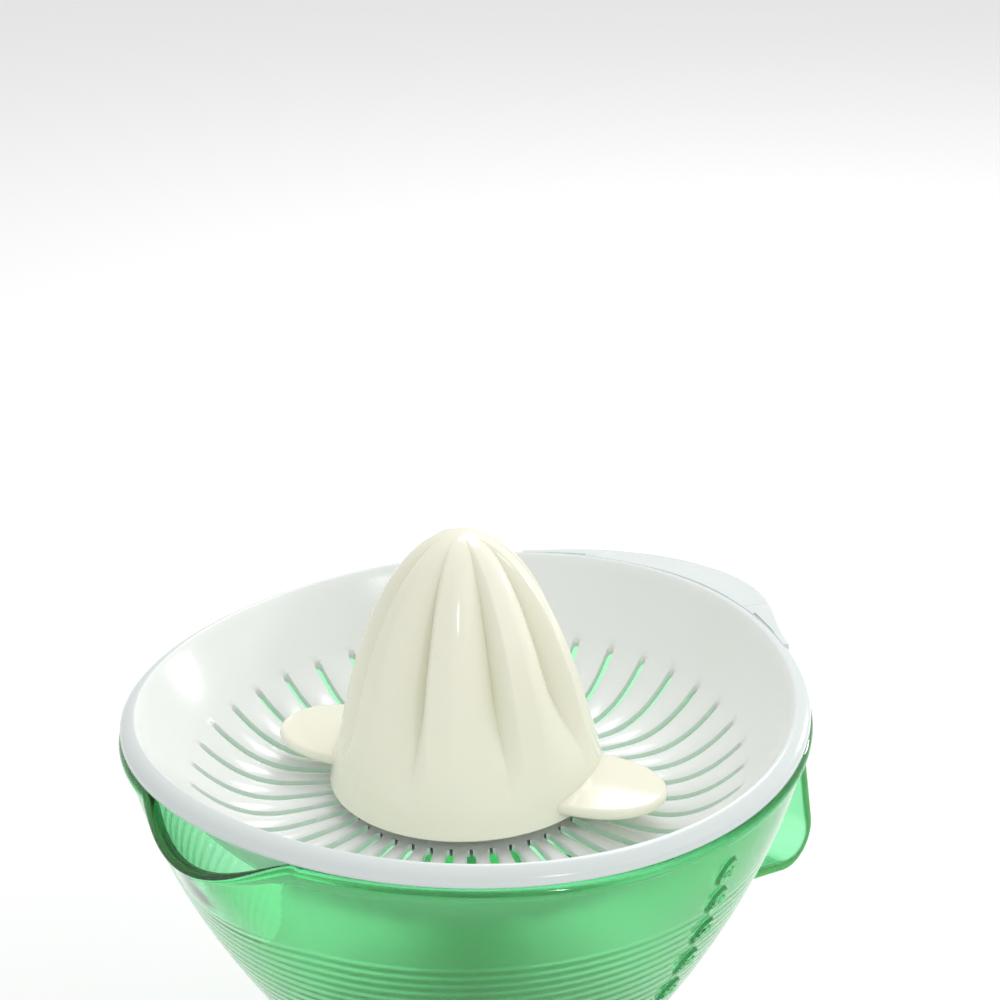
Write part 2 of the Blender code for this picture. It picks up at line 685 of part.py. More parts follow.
def make_idler(press, plastic, steel):
    """The compound gear between the motor and the output wheel, on its fixed axle."""
    place = (*idler_place(), 0)
    spin = empty("idler_axis", place, press)
    wheel_top = IDLER_WHEEL_Z + WHEEL_WIDTH
    pitch = 2 * math.pi / WHEEL_TEETH
    wheel_turn = -IDLER_ANGLE + pitch / 2
    pinion_turn = math.pi + IDLER_ANGLE
    wheel_teeth = gear_outline(WHEEL_TEETH, wheel_turn)
    pinion_teeth = gear_outline(PINION_TEETH, pinion_turn)
    idler = extruded("idler_gear", wheel_teeth, IDLER_WHEEL_Z, wheel_top, spin, look=plastic)
    join(idler, extruded("idler_pinion", pinion_teeth, IDLER_Z, IDLER_WHEEL_Z + PAST, spin))
    bore = ("idler_bore", AXLE_RADIUS + RUN, IDLER_Z - PAST, wheel_top + PAST)
    cut(idler, rod(*bore, spin, sides=PIN_SIDES))
    axle_top = wheel_top + GAP + CLIP_THICKNESS + 2 * GAP
    rod("idler_axle", AXLE_RADIUS, CHASSIS_Z + GAP, axle_top, press, place[:2], steel, sides=PIN_SIDES)
    clip = [
        (AXLE_RADIUS + GAP, wheel_top + GAP + CLIP_THICKNESS),
        (CLIP_RADIUS, wheel_top + GAP + CLIP_THICKNESS),
        (CLIP_RADIUS, wheel_top + GAP),
        (AXLE_RADIUS + GAP, wheel_top + GAP),
    ]
    turned("idler_clip", clip, press, place, steel, steps=PIN_SIDES)


def make_drive_shaft(press, steel, plastic):
    """The shaft, six-sided where the cone's drive sits on it, and its output wheel."""
    round_top = CHIMNEY_TOP - SHAFT_ROUND_BELOW
    shaft = rod("drive_shaft", SHAFT_RADIUS, SHAFT_FOOT_Z, round_top, press, look=steel)
    join(shaft, rod("shaft_head", SHAFT_RADIUS - MERGE, round_top - PAST, SHAFT_TOP, press, sides=6))
    pitch = 2 * math.pi / WHEEL_TEETH
    teeth = gear_outline(WHEEL_TEETH, IDLER_ANGLE + pitch / 2)
    wheel = extruded("output_gear", teeth, OUTPUT_Z, OUTPUT_Z + WHEEL_WIDTH, press, look=plastic)
    bore_top = OUTPUT_Z + WHEEL_WIDTH + PAST
    cut(wheel, rod("output_bore", SHAFT_RADIUS + GAP, OUTPUT_Z - PAST, bore_top, press))
    low = SHAFT_CLIP_Z
    clip = [
        (SHAFT_RADIUS + GAP, low + CLIP_THICKNESS),
        (SHAFT_RADIUS + SHAFT_CLIP_WIDTH, low + CLIP_THICKNESS),
        (SHAFT_RADIUS + SHAFT_CLIP_WIDTH, low),
        (SHAFT_RADIUS + GAP, low),
    ]
    turned("shaft_clip", clip, press, look=steel, steps=PIN_SIDES)


def make_press_switch(press, plastic, steel, dark, red):
    """The cup that the shaft turns in, the spring that lifts it, and the switch that it presses."""
    flange = SPRING_RADIUS + 2 * SPRING_WIRE
    bore = SHAFT_RADIUS + RUN
    profile = [
        (0, CUP_Z + CUP_FLOOR),
        (bore, CUP_Z + CUP_FLOOR),
        (bore, CUP_Z + CUP_HEIGHT),
        (CUP_RADIUS, CUP_Z + CUP_HEIGHT),
        (CUP_RADIUS, CUP_Z + 0.0014),
        (flange, CUP_Z + 0.0014),
        (flange, CUP_Z),
        (0, CUP_Z),
    ]
    cup = turned("press_cup", profile, press, look=plastic, steps=SMALL_STEPS)
    arm_size = (CUP_ARM_REACH, CUP_ARM_WIDTH, CUP_ARM_THICKNESS)
    arm_x = -CUP_ARM_REACH / 2 - bore - GAP
    arm = block("cup_arm", arm_size, (arm_x, 0, CUP_Z + CUP_ARM_THICKNESS / 2), press)
    join(cup, arm)
    make_spring(press, steel)
    body_z = COVER_TOP + GAP
    body_top = body_z + SWITCH_SIZE[2]
    centre = (-SWITCH_REACH, 0, body_z + SWITCH_SIZE[2] / 2)
    body = block("switch_body", SWITCH_SIZE, centre, press, dark)
    well = body_top - PLUNGER_DEPTH - PRESS_TRAVEL
    place = (-SWITCH_REACH, 0)
    hole = ("plunger_hole", PLUNGER_RADIUS + RUN, well, body_top + PAST)
    cut(body, rod(*hole, press, place, sides=PIN_SIDES))
    plunger = ("switch_plunger", PLUNGER_RADIUS, body_top - PLUNGER_DEPTH + GAP, CUP_Z - GAP)
    rod(*plunger, press, place, red, sides=PIN_SIDES)


def make_spring(press, look):
    """The return spring stands round its post between the cover and the cup."""
    low = COVER_TOP + GAP + SPRING_WIRE
    high = CUP_Z - GAP - SPRING_WIRE
    count = int(SPRING_TURNS * 12)
    curve = bpy.data.curves.new("return_spring", "CURVE")
    curve.dimensions = "3D"
    curve.bevel_depth = SPRING_WIRE
    curve.bevel_resolution = 1
    curve.use_fill_caps = True
    spline = curve.splines.new("POLY")
    spline.points.add(count)
    for i, point in enumerate(spline.points):
        share = i / count
        turn = 2 * math.pi * SPRING_TURNS * share
        place = (SPRING_RADIUS * math.cos(turn), SPRING_RADIUS * math.sin(turn))
        point.co = (*place, low + (high - low) * share, 1)
    add("return_spring", curve, press, look=look)


def wall_levels():
    """Heights of the rings of points on the jug's wall, from under the bead to the floor."""
    top = BEAD_TOP - BEAD_HEIGHT
    return [top - (top - JUG_FLOOR_TOP) * i / (WALL_RINGS - 1) for i in range(WALL_RINGS)]


def make_jug(press, look):
    ring_in = FOOT_RING_RADIUS - FOOT_RING_WIDTH
    ring_top = JUG_Z + FOOT_RING_HEIGHT
    profile = [
        (CHIMNEY_BORE, BEAD_TOP),
        (RIM_RADIUS - 0.0008, BEAD_TOP),
        (RIM_RADIUS, BEAD_TOP - BEAD_HEIGHT / 2),
        *[(jug_radius(z), z) for z in wall_levels()],
        (FOOT_RING_RADIUS, ring_top),
        (FOOT_RING_RADIUS, JUG_Z),
        (ring_in, JUG_Z),
        (ring_in, ring_top),
        (CHIMNEY_BORE, ring_top),
    ]
    jug = move_points(settle(turned("jug", profile, press, look=look)), pull_spout)
    make_handle(jug, press)
    lip = RIM_RADIUS - BEAD_WIDTH
    above = BEAD_TOP + SKIRT_HEIGHT
    hollow = [
        (CHIMNEY_BORE / 2, above),
        (lip, above),
        (lip, BEAD_TOP - BEAD_HEIGHT),
        *[(jug_inside(z), z) for z in wall_levels()[1:]],
        (CHIMNEY_RADIUS, JUG_FLOOR_TOP),
        (CHIMNEY_RADIUS, CHIMNEY_TOP),
        (CHIMNEY_BORE / 2, CHIMNEY_TOP),
    ]
    cavity = move_points(settle(turned("jug_cavity", hollow, press)), pull_spout)
    cut(jug, cavity)
    move_points(settle(jug), saddle)


def make_handle(jug, press):
    """A flat band that leaves the wall under the rim, hangs down and returns to the wall."""
    corners = [(x, RIM_TOP - down) for x, down, _ in (HANDLE_SHOULDER, HANDLE_BACK, HANDLE_HEEL)]
    bends = [HANDLE_SHOULDER[2], HANDLE_BACK[2], HANDLE_HEEL[2]]
    root = RIM_TOP - HANDLE_ROOT
    start = (jug_radius(corners[0][1]) - 2 * JUG_WALL, corners[0][1])
    end = (jug_radius(root) - 2 * JUG_WALL, root)
    stops = [start, *corners, end]
    path = [start]
    for i, (corner, radius) in enumerate(zip(corners, bends)):
        path += bend(corner, stops[i], stops[i + 2], radius)
    path.append(end)
    outline = band_outline(path, HANDLE_THICKNESS)
    half = HANDLE_WIDTH / 2
    handle = extruded("handle_band", outline, -half, half, press)
    handle.rotation_euler.x = math.pi / 2
    join(jug, handle)


def make_sieve(press, look):
    radii = [RIM_RADIUS - FLANGE_WIDTH - (SLOT_TO_RIM - FLANGE_WIDTH) * i / 2 for i in range(3)]
    radii += [SLOT_OUTER - (SLOT_OUTER - GUTTER_RADIUS) * i / 2 for i in range(1, 3)]
    radii += [GUTTER_RADIUS - (GUTTER_RADIUS - LAND_RADIUS) * i / 2 for i in range(1, 3)]
    radii.reverse()
    upper = [(r, dish_z(r)) for r in radii]
    lower = [(r, z - SIEVE_WALL * wall_slope(r)) for r, z in upper[:-1]]
    collar_in = CHIMNEY_RADIUS + RUN
    collar_out = collar_in + COLLAR_WALL
    land_under = LAND_Z - SIEVE_WALL
    skirt_in = RIM_RADIUS - FLANGE_THICKNESS
    flange_under = RIM_TOP - FLANGE_THICKNESS
    profile = [
        (NECK_BORE, NECK_TOP),
        (NECK_RADIUS, NECK_TOP),
        (NECK_RADIUS, LAND_Z),
        *upper,
        (RIM_RADIUS - 0.0010, RIM_TOP + 0.0002),
        (RIM_RADIUS, RIM_TOP - 0.0010),
        (RIM_RADIUS, RIM_TOP - SKIRT_HEIGHT),
        (skirt_in, RIM_TOP - SKIRT_HEIGHT),
        (skirt_in, flange_under),
        (RIM_RADIUS - FLANGE_WIDTH - 0.0005, flange_under - 0.0008),
        *reversed(lower),
        (collar_out, land_under),
        (collar_out, land_under - COLLAR_DROP),
        (collar_in, land_under - COLLAR_DROP),
        (collar_in, land_under),
        (NECK_BORE, land_under),
    ]
    sieve = settle(turned("sieve", profile, press, look=look, steps=SLOT_COUNT))
    half_pitch = Matrix.Rotation(math.pi / SLOT_COUNT, 4, "Z")
    move_points(sieve, lambda p: half_pitch @ p)
    join(sieve, make_tab(press))
    move_points(settle(sieve), saddle)
    cut(sieve, make_slots(press))


def wall_slope(radius):
    """How much taller than thick the sieve's wall measures where it slopes."""
    return math.hypot(1, (dish_z(radius + STEP) - dish_z(radius - STEP)) / (2 * STEP))


def make_tab(press):
    """The lobe of the rim that covers the handle's root and serves as the sieve's grip."""
    inner = RIM_RADIUS - FLANGE_THICKNESS
    turns = [TAB_HALF_ANGLE * (i / 8 - 1) for i in range(17)]
    rings = []
    for turn in turns:
        bell = 0.5 + 0.5 * math.cos(math.pi * turn / TAB_HALF_ANGLE)
        reach = RIM_RADIUS - GAP + (TAB_REACH - RIM_RADIUS) * bell
        middle = (inner + reach) / 2
        top = RIM_TOP - GAP
        drooped = top - TAB_DROOP * bell
        section = [
            (inner, top),
            (middle, top - TAB_DROOP * bell / 3),
            (reach, drooped),
            (reach, drooped - TAB_THICKNESS),
            (middle, top - TAB_DROOP * bell / 3 - TAB_THICKNESS),
            (inner, top - TAB_THICKNESS),
        ]
        rings.append([(r * math.cos(turn), r * math.sin(turn), z) for r, z in section])
    return lofted("tab_plate", rings, press)


def lofted(name, rings, parent, look=None):
    """A closed body through a row of closed outlines of equal length."""
    count = len(rings[0])
    points = [point for ring in rings for point in ring]
    faces = [tuple(reversed(range(count))), tuple(range(len(points) - count, len(points)))]
    for row in range(len(rings) - 1):
        for i in range(count):
            first = row * count + i
            after = row * count + (i + 1) % count
            faces.append((first, after, after + count, first + count))
    mesh = bpy.data.meshes.new(name)
    mesh.from_pydata(points, [], faces)
    shape = bmesh.new()
    shape.from_mesh(mesh)
    bmesh.ops.recalc_face_normals(shape, faces=shape.faces)
    shape.to_mesh(mesh)
    shape.free()
    return add(name, mesh, parent, look=look)


def make_slots(press):
    """Every slot's cutter, as one helper."""
    mesh = bpy.data.meshes.new("slots")
    shape = bmesh.new()
    half = SLOT_WIDTH / 2
    outline = [
        (SLOT_INNER, -half),
        (SLOT_OUTER - half, -half),
        (SLOT_OUTER, 0),
        (SLOT_OUTER - half, half),
        (SLOT_INNER, half),
    ]
    low = RIM_TOP - DISH_DEPTH - 2 * SIEVE_WALL
    for i in range(SLOT_COUNT):
        turn = Matrix.Rotation(2 * math.pi * i / SLOT_COUNT, 4, "Z")
        face = shape.faces.new([shape.verts.new(turn @ Vector((x, y, low))) for x, y in outline])
        raised = bmesh.ops.extrude_face_region(shape, geom=[face])
        top = [item for item in raised["geom"] if isinstance(item, bmesh.types.BMVert)]
        bmesh.ops.translate(shape, vec=(0, 0, RIM_TOP - low), verts=top)
    bmesh.ops.recalc_face_normals(shape, faces=shape.faces)
    shape.to_mesh(mesh)
    shape.free()
    return add("slots", mesh, press)


def make_sleeve(press, look):
    """The sleeve that turns in the sieve's neck and hands the shaft's drive to the cone."""
    low = LAND_Z - SIEVE_WALL
    bore = SHAFT_RADIUS + RUN
    barrel = SLEEVE_RADIUS
    profile = [
        (bore, SLEEVE_FLANGE_TOP),
        (SLEEVE_FLANGE_RADIUS, SLEEVE_FLANGE_TOP),
        (SLEEVE_FLANGE_RADIUS, SLEEVE_FLANGE_TOP - SLEEVE_FLANGE),
        (barrel, SLEEVE_FLANGE_TOP - SLEEVE_FLANGE),
        (barrel, low),
        (bore, low),
    ]
    sleeve = turned("drive_sleeve", profile, press, look=look, steps=SMALL_STEPS)
    join(sleeve, rod("sleeve_head", SLEEVE_RADIUS, SLEEVE_FLANGE_TOP - 0.001, SLEEVE_TOP, press, sides=6))
    cut(sleeve, rod("sleeve_bore", bore, low - 0.001, SLEEVE_TOP + 0.001, press, sides=6))


def groove(angle, lobes):
    """How deep a lobed cone's groove is at an angle: 1 in the crease, 0 on the lobe."""
    across = (angle * lobes / (2 * math.pi)) % 1.0
    steep = 1 - across / 0.14
    flank = (across - 0.58) / 0.42
    return max(0.0, steep, flank)


def lobed(point, centre_z, height, depth, start, lobes):
    radius = math.hypot(point.x, point.y)
    share = (point.z - centre_z - start) / (height - start)
    if share <= 0 or radius < MERGE:
        return point
    fade = math.sin(math.pi * min(1.0, share) ** 0.7)
    angle = math.atan2(point.y, point.x)
    inward = max(0.3, 1 - depth * fade * groove(angle, lobes) / radius)
    return Vector((point.x * inward, point.y * inward, point.z))


def make_large_cone(press, look):
    shares = [0.0, 0.10, 0.22, 0.36, 0.50, 0.64, 0.76, 0.86, 0.94, 0.985]
    outside = [(CONE_RADIUS * cone_radius(s), CONE_Z + CONE_HEIGHT * s) for s in reversed(shares)]
    profile = [(0, CONE_Z + CONE_HEIGHT), *outside, (0, CONE_Z)]
    cone = settle(turned("large_cone", profile, press, look=look, steps=CONE_STEPS))
    move_points(cone, lambda p: lobed(p, CONE_Z, CONE_HEIGHT, GROOVE_DEPTH, GROOVE_START, LOBES))
    cone.rotation_euler.z = GROOVE_TURN
    for i in range(2):
        join(cone, make_paddle(press, i))
    rows = []
    for share in (0.0, 0.12, 0.36, 0.56, 0.70, 0.78):
        room = GROOVE_DEPTH * math.sin(math.pi * max(0.0, share - 0.10) ** 0.7)
        inside = CONE_RADIUS * cone_radius(share) - CONE_WALL - max(0.0, room)
        rows.append((inside, CONE_Z + CONE_HEIGHT * share))
    roof = rows[-1][1] + 0.002
    hollow = [(0, roof), *reversed(rows), (rows[0][0], CONE_Z - 0.005), (0, CONE_Z - 0.005)]
    cut(cone, turned("large_hollow", hollow, press, steps=32))


def make_paddle(press, index):
    """A leaf-shaped wing at the cone's edge that sweeps the pulp round."""
    tip = SLOT_OUTER - PADDLE_TO_WALL
    root = CONE_RADIUS - 0.006
    half = PADDLE_WIDTH / 2
    shares = (0, 0.3, 0.6, 0.8, 0.93)
    side = [(root + (tip - root) * s, half * math.sqrt(1 - s ** 2.4)) for s in shares]
    outline = [(x, -y) for x, y in side] + [(tip, 0)] + [(x, y) for x, y in reversed(side)]
    low = CONE_Z + PADDLE_LIFT
    paddle = extruded(f"paddle_{index}", outline, low, low + PADDLE_THICKNESS, press)
    paddle.rotation_euler.z = PADDLE_TURN + math.pi * index
    return paddle


def make_small_cone(press, look):
    """The reamer for small fruit, which carries the large cone and sits on the drive."""
    shares = [0.0, 0.2, 0.4, 0.6, 0.8, 0.94]
    top = SMALL_Z + SMALL_HEIGHT
    outside = [
        (SMALL_RADIUS * (1 - s ** 2) ** 0.75, SMALL_Z + SMALL_FLANGE + (SMALL_HEIGHT - SMALL_FLANGE) * s)
        for s in reversed(shares)
    ]
    profile = [
        (0, top),
        *outside,
        (SMALL_FLANGE_RADIUS, SMALL_Z + SMALL_FLANGE),
        (SMALL_FLANGE_RADIUS, SMALL_Z),
        (0, SMALL_Z),
    ]
    cone = settle(turned("small_cone", profile, press, look=look, steps=32))
    start = 2 * SMALL_FLANGE
    move_points(cone, lambda p: lobed(p, SMALL_Z, SMALL_HEIGHT, SMALL_GROOVE, start, LOBES))
    cone.rotation_euler.z = GROOVE_TURN
    wall = SMALL_WALL + SMALL_GROOVE
    hollow = [
        (SMALL_HUB_RADIUS, SMALL_Z + 0.020),
        (SMALL_RADIUS * 0.80 - wall, SMALL_Z + 0.020),
        (SMALL_RADIUS - wall, SMALL_Z + SMALL_FLANGE),
        (SMALL_RADIUS - wall, SMALL_Z - 0.002),
        (SMALL_HUB_RADIUS, SMALL_Z - 0.002),
    ]
    cut(cone, turned("small_hollow", hollow, press, steps=32))
    ceiling = SLEEVE_TOP + PRESS_TRAVEL + GAP
    cut(cone, rod("sleeve_socket", SLEEVE_RADIUS + RUN, SMALL_Z - 0.002, ceiling, press, sides=6))
    cut(cone, rod("shaft_socket", SHAFT_RADIUS + RUN, ceiling - 0.001, SHAFT_TOP + GAP, press, sides=6))


def main():
    press = empty("press_axis", (AXIS_X, 0, 0))
    white = material("white_plastic", (0.86, 0.87, 0.84), 0.22)
    cream = material("cream_plastic", (0.85, 0.83, 0.70), 0.18)
    green = material("green_clear_plastic", (0.16, 0.70, 0.36), 0.08, alpha=0.5)
    grey = material("grey_plastic", (0.32, 0.34, 0.35), 0.45)
    gear = material("gear_plastic", (0.78, 0.74, 0.62), 0.40)
    dark = material("dark_plastic", (0.04, 0.04, 0.05), 0.45)
    red = material("red_plastic", (0.60, 0.06, 0.05), 0.40)
    rubber = material("rubber", (0.05, 0.05, 0.055), 0.80)
    steel = material("steel", (0.62, 0.63, 0.65), 0.30, 1.0)
    bronze = material("bronze", (0.55, 0.38, 0.20), 0.35, 1.0)
    copper = material("copper_winding", (0.60, 0.26, 0.12), 0.40, 1.0)
    make_housing(press, white)
    make_grommet(press, rubber)
    make_cover(press, grey)
    make_feet_and_screws(press, rubber, steel)
    make_chassis(press, steel)
    make_bushes(press, bronze, rubber)
    make_motor(press, steel, copper, dark, bronze)
    make_idler(press, gear, steel)
    make_drive_shaft(press, steel, gear)
    make_press_switch(press, gear, steel, dark, red)
    make_jug(press, green)
    make_sieve(press, white)
    make_sleeve(press, grey)
    make_small_cone(press, cream)
    make_large_cone(press, cream)


clear_scene()
PARTS = collection("citrus_press")
CUTTERS = collection("cutters")
main()
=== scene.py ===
import bpy, bmesh, math
from mathutils import Vector, Matrix


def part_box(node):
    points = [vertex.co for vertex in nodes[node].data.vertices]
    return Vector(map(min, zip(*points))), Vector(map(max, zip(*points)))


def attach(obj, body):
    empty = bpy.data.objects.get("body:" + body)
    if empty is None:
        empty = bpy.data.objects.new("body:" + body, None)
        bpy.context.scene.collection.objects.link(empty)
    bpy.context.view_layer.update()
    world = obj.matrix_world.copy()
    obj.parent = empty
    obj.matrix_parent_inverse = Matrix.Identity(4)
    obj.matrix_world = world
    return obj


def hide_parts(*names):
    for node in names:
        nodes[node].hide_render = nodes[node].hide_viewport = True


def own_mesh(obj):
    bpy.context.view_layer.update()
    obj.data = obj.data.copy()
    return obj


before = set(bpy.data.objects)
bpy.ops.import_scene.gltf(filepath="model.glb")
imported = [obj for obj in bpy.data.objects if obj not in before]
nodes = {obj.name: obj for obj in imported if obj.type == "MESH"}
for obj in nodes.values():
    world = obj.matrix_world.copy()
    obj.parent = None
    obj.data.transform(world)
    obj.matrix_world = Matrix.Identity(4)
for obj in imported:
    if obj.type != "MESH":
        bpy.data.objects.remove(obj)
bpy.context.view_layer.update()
print("frame loaded:", len(nodes), "nodes")

# shared places, in metres
pressX = sum((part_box("drive_shaft")[i].x for i in (0, 1))) / 2  # the press's upright axis
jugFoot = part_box("jug")[0].z
rimTop = jugFoot + 0.1013  # the sieve's rim at its mean level
wave = 0.0025  # the rim's rise at spout and handle, and its fall between them
waveFrom, waveSpan = 0.048, 0.038  # the radius where the wave starts, and the width it grows over
waveDepth = 0.040  # how far below the rim it has died away


def mix(a, b, t):
    return a + (b - a) * t


def ease(t):
    t = max(0.0, min(1.0, t))
    return t * t * (3 - 2 * t)


def rimWave(r, angle, z):
    share = max(0.0, min(1.0, (r - waveFrom) / waveSpan))
    return wave * math.cos(2 * angle) * share * max(0.0, 1 - (rimTop - z) / waveDepth)


def newMaterial(name):
    made = bpy.data.materials.new(name)
    made.use_nodes = True
    tree = made.node_tree
    shader = tree.nodes["Principled BSDF"]
    return made, tree, shader


def addNoise(tree, scale, detail=3.0, stretch=None):
    coords = tree.nodes.new("ShaderNodeTexCoord")
    noise = tree.nodes.new("ShaderNodeTexNoise")
    noise.inputs["Scale"].default_value = scale
    noise.inputs["Detail"].default_value = detail
    if stretch:
        mapping = tree.nodes.new("ShaderNodeMapping")
        mapping.inputs["Scale"].default_value = stretch
        tree.links.new(coords.outputs["Object"], mapping.inputs["Vector"])
        tree.links.new(mapping.outputs["Vector"], noise.inputs["Vector"])
    else:
        tree.links.new(coords.outputs["Object"], noise.inputs["Vector"])
    return noise


def varyRoughness(tree, shader, noise, low, high):
    ramp = tree.nodes.new("ShaderNodeMapRange")
    ramp.inputs["To Min"].default_value = low
    ramp.inputs["To Max"].default_value = high
    tree.links.new(noise.outputs["Fac"], ramp.inputs["Value"])
    tree.links.new(ramp.outputs["Result"], shader.inputs["Roughness"])


def varyColour(tree, shader, noise, first, second):
    ramp = tree.nodes.new("ShaderNodeValToRGB")
    ramp.color_ramp.elements[0].position = 0.35
    ramp.color_ramp.elements[1].position = 0.65
    ramp.color_ramp.elements[0].color = (*first, 1)
    ramp.color_ramp.elements[1].color = (*second, 1)
    tree.links.new(noise.outputs["Fac"], ramp.inputs["Fac"])
    tree.links.new(ramp.outputs["Color"], shader.inputs["Base Color"])


def addBump(tree, shader, noise, strength, distance):
    bump = tree.nodes.new("ShaderNodeBump")
    bump.inputs["Strength"].default_value = strength
    bump.inputs["Distance"].default_value = distance
    tree.links.new(noise.outputs["Fac"], bump.inputs["Height"])
    tree.links.new(bump.outputs["Normal"], shader.inputs["Normal"])


def mouldedPlastic(name, look):
    made, tree, shader = newMaterial(name)
    tint = look["colour"]
    shade = look.get("shade", tuple(c * 0.95 for c in tint))
    broad = addNoise(tree, look.get("patch", 18.0), 2.0)
    fine = addNoise(tree, look.get("grain", 900.0), 2.0)
    varyColour(tree, shader, broad, shade, tint)
    varyRoughness(tree, shader, broad, look["rough"][0], look["rough"][1])
    addBump(tree, shader, fine, look.get("bump", 0.05), 0.0002)
    shader.inputs["IOR"].default_value = 1.5
    if look.get("soft"):
        shader.inputs["Subsurface Weight"].default_value = look["soft"]
        shader.inputs["Subsurface Radius"].default_value = (1.0, 0.9, 0.7)
        shader.inputs["Subsurface Scale"].default_value = 0.004
    return made


def clearPlastic(name, look):
    made, tree, shader = newMaterial(name)
    shader.inputs["Base Color"].default_value = (*look["colour"], 1)
    shader.inputs["Transmission Weight"].default_value = look["clear"]
    shader.inputs["IOR"].default_value = look["ior"]
    flow = addNoise(tree, 60.0, 2.0, (1.0, 1.0, 0.35))  # faint flow marks from the mould
    inside = tree.nodes.new("ShaderNodeAttribute")  # the inner face is finely textured, the outer polished
    inside.attribute_name = "hazy"
    haze = tree.nodes.new("ShaderNodeMapRange")
    haze.inputs["To Min"].default_value = look["rough"][0]
    haze.inputs["To Max"].default_value = look["rough"][1]
    tree.links.new(inside.outputs["Fac"], haze.inputs["Value"])
    uneven = tree.nodes.new("ShaderNodeMath")
    uneven.operation = "MULTIPLY_ADD"
    uneven.inputs[1].default_value = 0.02
    tree.links.new(flow.outputs["Fac"], uneven.inputs[0])
    tree.links.new(haze.outputs["Result"], uneven.inputs[2])
    tree.links.new(uneven.outputs["Value"], shader.inputs["Roughness"])
    addBump(tree, shader, flow, look["bump"], 0.0004)
    depth = tree.nodes.new("ShaderNodeVolumeAbsorption")
    depth.inputs["Color"].default_value = (*look["depthColour"], 1)
    depth.inputs["Density"].default_value = look["density"]
    tree.links.new(depth.outputs["Volume"], tree.nodes["Material Output"].inputs["Volume"])
    return made


def bareMetal(name, look):
    made, tree, shader = newMaterial(name)
    shader.inputs["Metallic"].default_value = 1.0
    lines = addNoise(tree, look.get("grain", 300.0), 4.0, look.get("stretch"))
    varyColour(tree, shader, lines, tuple(c * 0.85 for c in look["colour"]), look["colour"])
    varyRoughness(tree, shader, lines, look["rough"][0], look["rough"][1])
    addBump(tree, shader, lines, look.get("bump", 0.1), 0.0001)
    return made


finishes = {
    "sieveWhite": mouldedPlastic("sieveWhite", {
        "colour": (0.83, 0.855, 0.84), "shade": (0.81, 0.835, 0.815), "rough": (0.16, 0.24), "soft": 0.12}),
    "rimShadedWhite": mouldedPlastic("rimShadedWhite", {  # the rim and its grip: the same white plastic, painted darker and cooler as painted shade
        "colour": (0.67, 0.725, 0.715), "shade": (0.655, 0.71, 0.70), "rough": (0.14, 0.22), "soft": 0.10}),
    "coneCream": mouldedPlastic("coneCream", {
        "colour": (0.86, 0.85, 0.71), "shade": (0.84, 0.83, 0.69), "rough": (0.10, 0.17), "soft": 0.15}),
    "baseWhite": mouldedPlastic("baseWhite", {
        "colour": (0.85, 0.865, 0.84), "rough": (0.20, 0.30), "bump": 0.08}),
    "coverGrey": mouldedPlastic("coverGrey", {
        "colour": (0.30, 0.32, 0.33), "rough": (0.45, 0.60), "bump": 0.3, "grain": 1500.0}),
    "gearNylon": mouldedPlastic("gearNylon", {"colour": (0.76, 0.72, 0.60), "rough": (0.35, 0.45)}),
    "switchBlack": mouldedPlastic("switchBlack", {"colour": (0.035, 0.035, 0.04), "rough": (0.4, 0.5)}),
    "switchRed": mouldedPlastic("switchRed", {"colour": (0.60, 0.05, 0.04), "rough": (0.3, 0.4)}),
    "footRubber": mouldedPlastic("footRubber", {
        "colour": (0.045, 0.045, 0.05), "rough": (0.7, 0.85), "bump": 0.4, "grain": 2500.0}),
    "plateSteel": bareMetal("plateSteel", {
        "colour": (0.60, 0.61, 0.63), "rough": (0.25, 0.38), "stretch": (1.0, 12.0, 1.0)}),
    "bushBronze": bareMetal("bushBronze", {"colour": (0.55, 0.38, 0.20), "rough": (0.35, 0.5), "grain": 2500.0}),
    "windingCopper": bareMetal("windingCopper", {
        "colour": (0.62, 0.27, 0.12), "rough": (0.3, 0.4), "stretch": (1.0, 1.0, 30.0), "bump": 0.5}),
    "jugGreen": clearPlastic("jugGreen", {
        "colour": (0.66, 1.0, 0.73), "clear": 0.97, "ior": 1.50, "rough": (0.015, 0.34), "bump": 0.003,
        "depthColour": (0.0, 0.985, 0.52), "density": 165.0}),
}
print("finishes made:", len(finishes))

# CAD nodes that keep their own shape, and the finish of each
carried = {
    "coverGrey": ["base_cover", "drive_sleeve"],
    "footRubber": ["foot_1", "foot_2", "foot_3", "foot_4", "cord_grommet", "shaft_seal"],
    "plateSteel": ["chassis_plate", "drive_shaft", "shaft_clip", "idler_axle", "idler_clip", "motor_can",
                   "motor_end_plate", "rotor_shaft"]
                  + [f"{kind}_screw_{i}" for kind in ("cover", "chassis") for i in (1, 2, 3, 4)],
    "bushBronze": ["lower_bush", "upper_bush", "motor_pinion"],
    "windingCopper": ["motor_coil"],
    "gearNylon": ["output_gear", "idler_gear", "press_cup"],
    "switchBlack": ["switch_body", "rotor_magnet"],
    "switchRed": ["switch_plunger"],
}
for finish, names in carried.items():
    for name in names:
        mesh = nodes[name].data
        mesh.materials.clear()
        mesh.materials.append(finishes[finish])
        mesh.shade_smooth()
        nodes[name].modifiers.new("edges", "EDGE_SPLIT").split_angle = math.radians(35)
print("CAD nodes finished")


def makePiece(name, mesh, finish, body, stands=(), smooth=40):
    made = bpy.data.objects.new(name, mesh)
    bpy.context.scene.collection.objects.link(made)
    mesh.materials.clear()
    mesh.materials.append(finishes[finish])
    mesh.shade_smooth()
    if smooth:
        mesh.set_sharp_from_angle(angle=math.radians(smooth))
    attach(made, body)
    if stands:
        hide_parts(*stands)
    return made


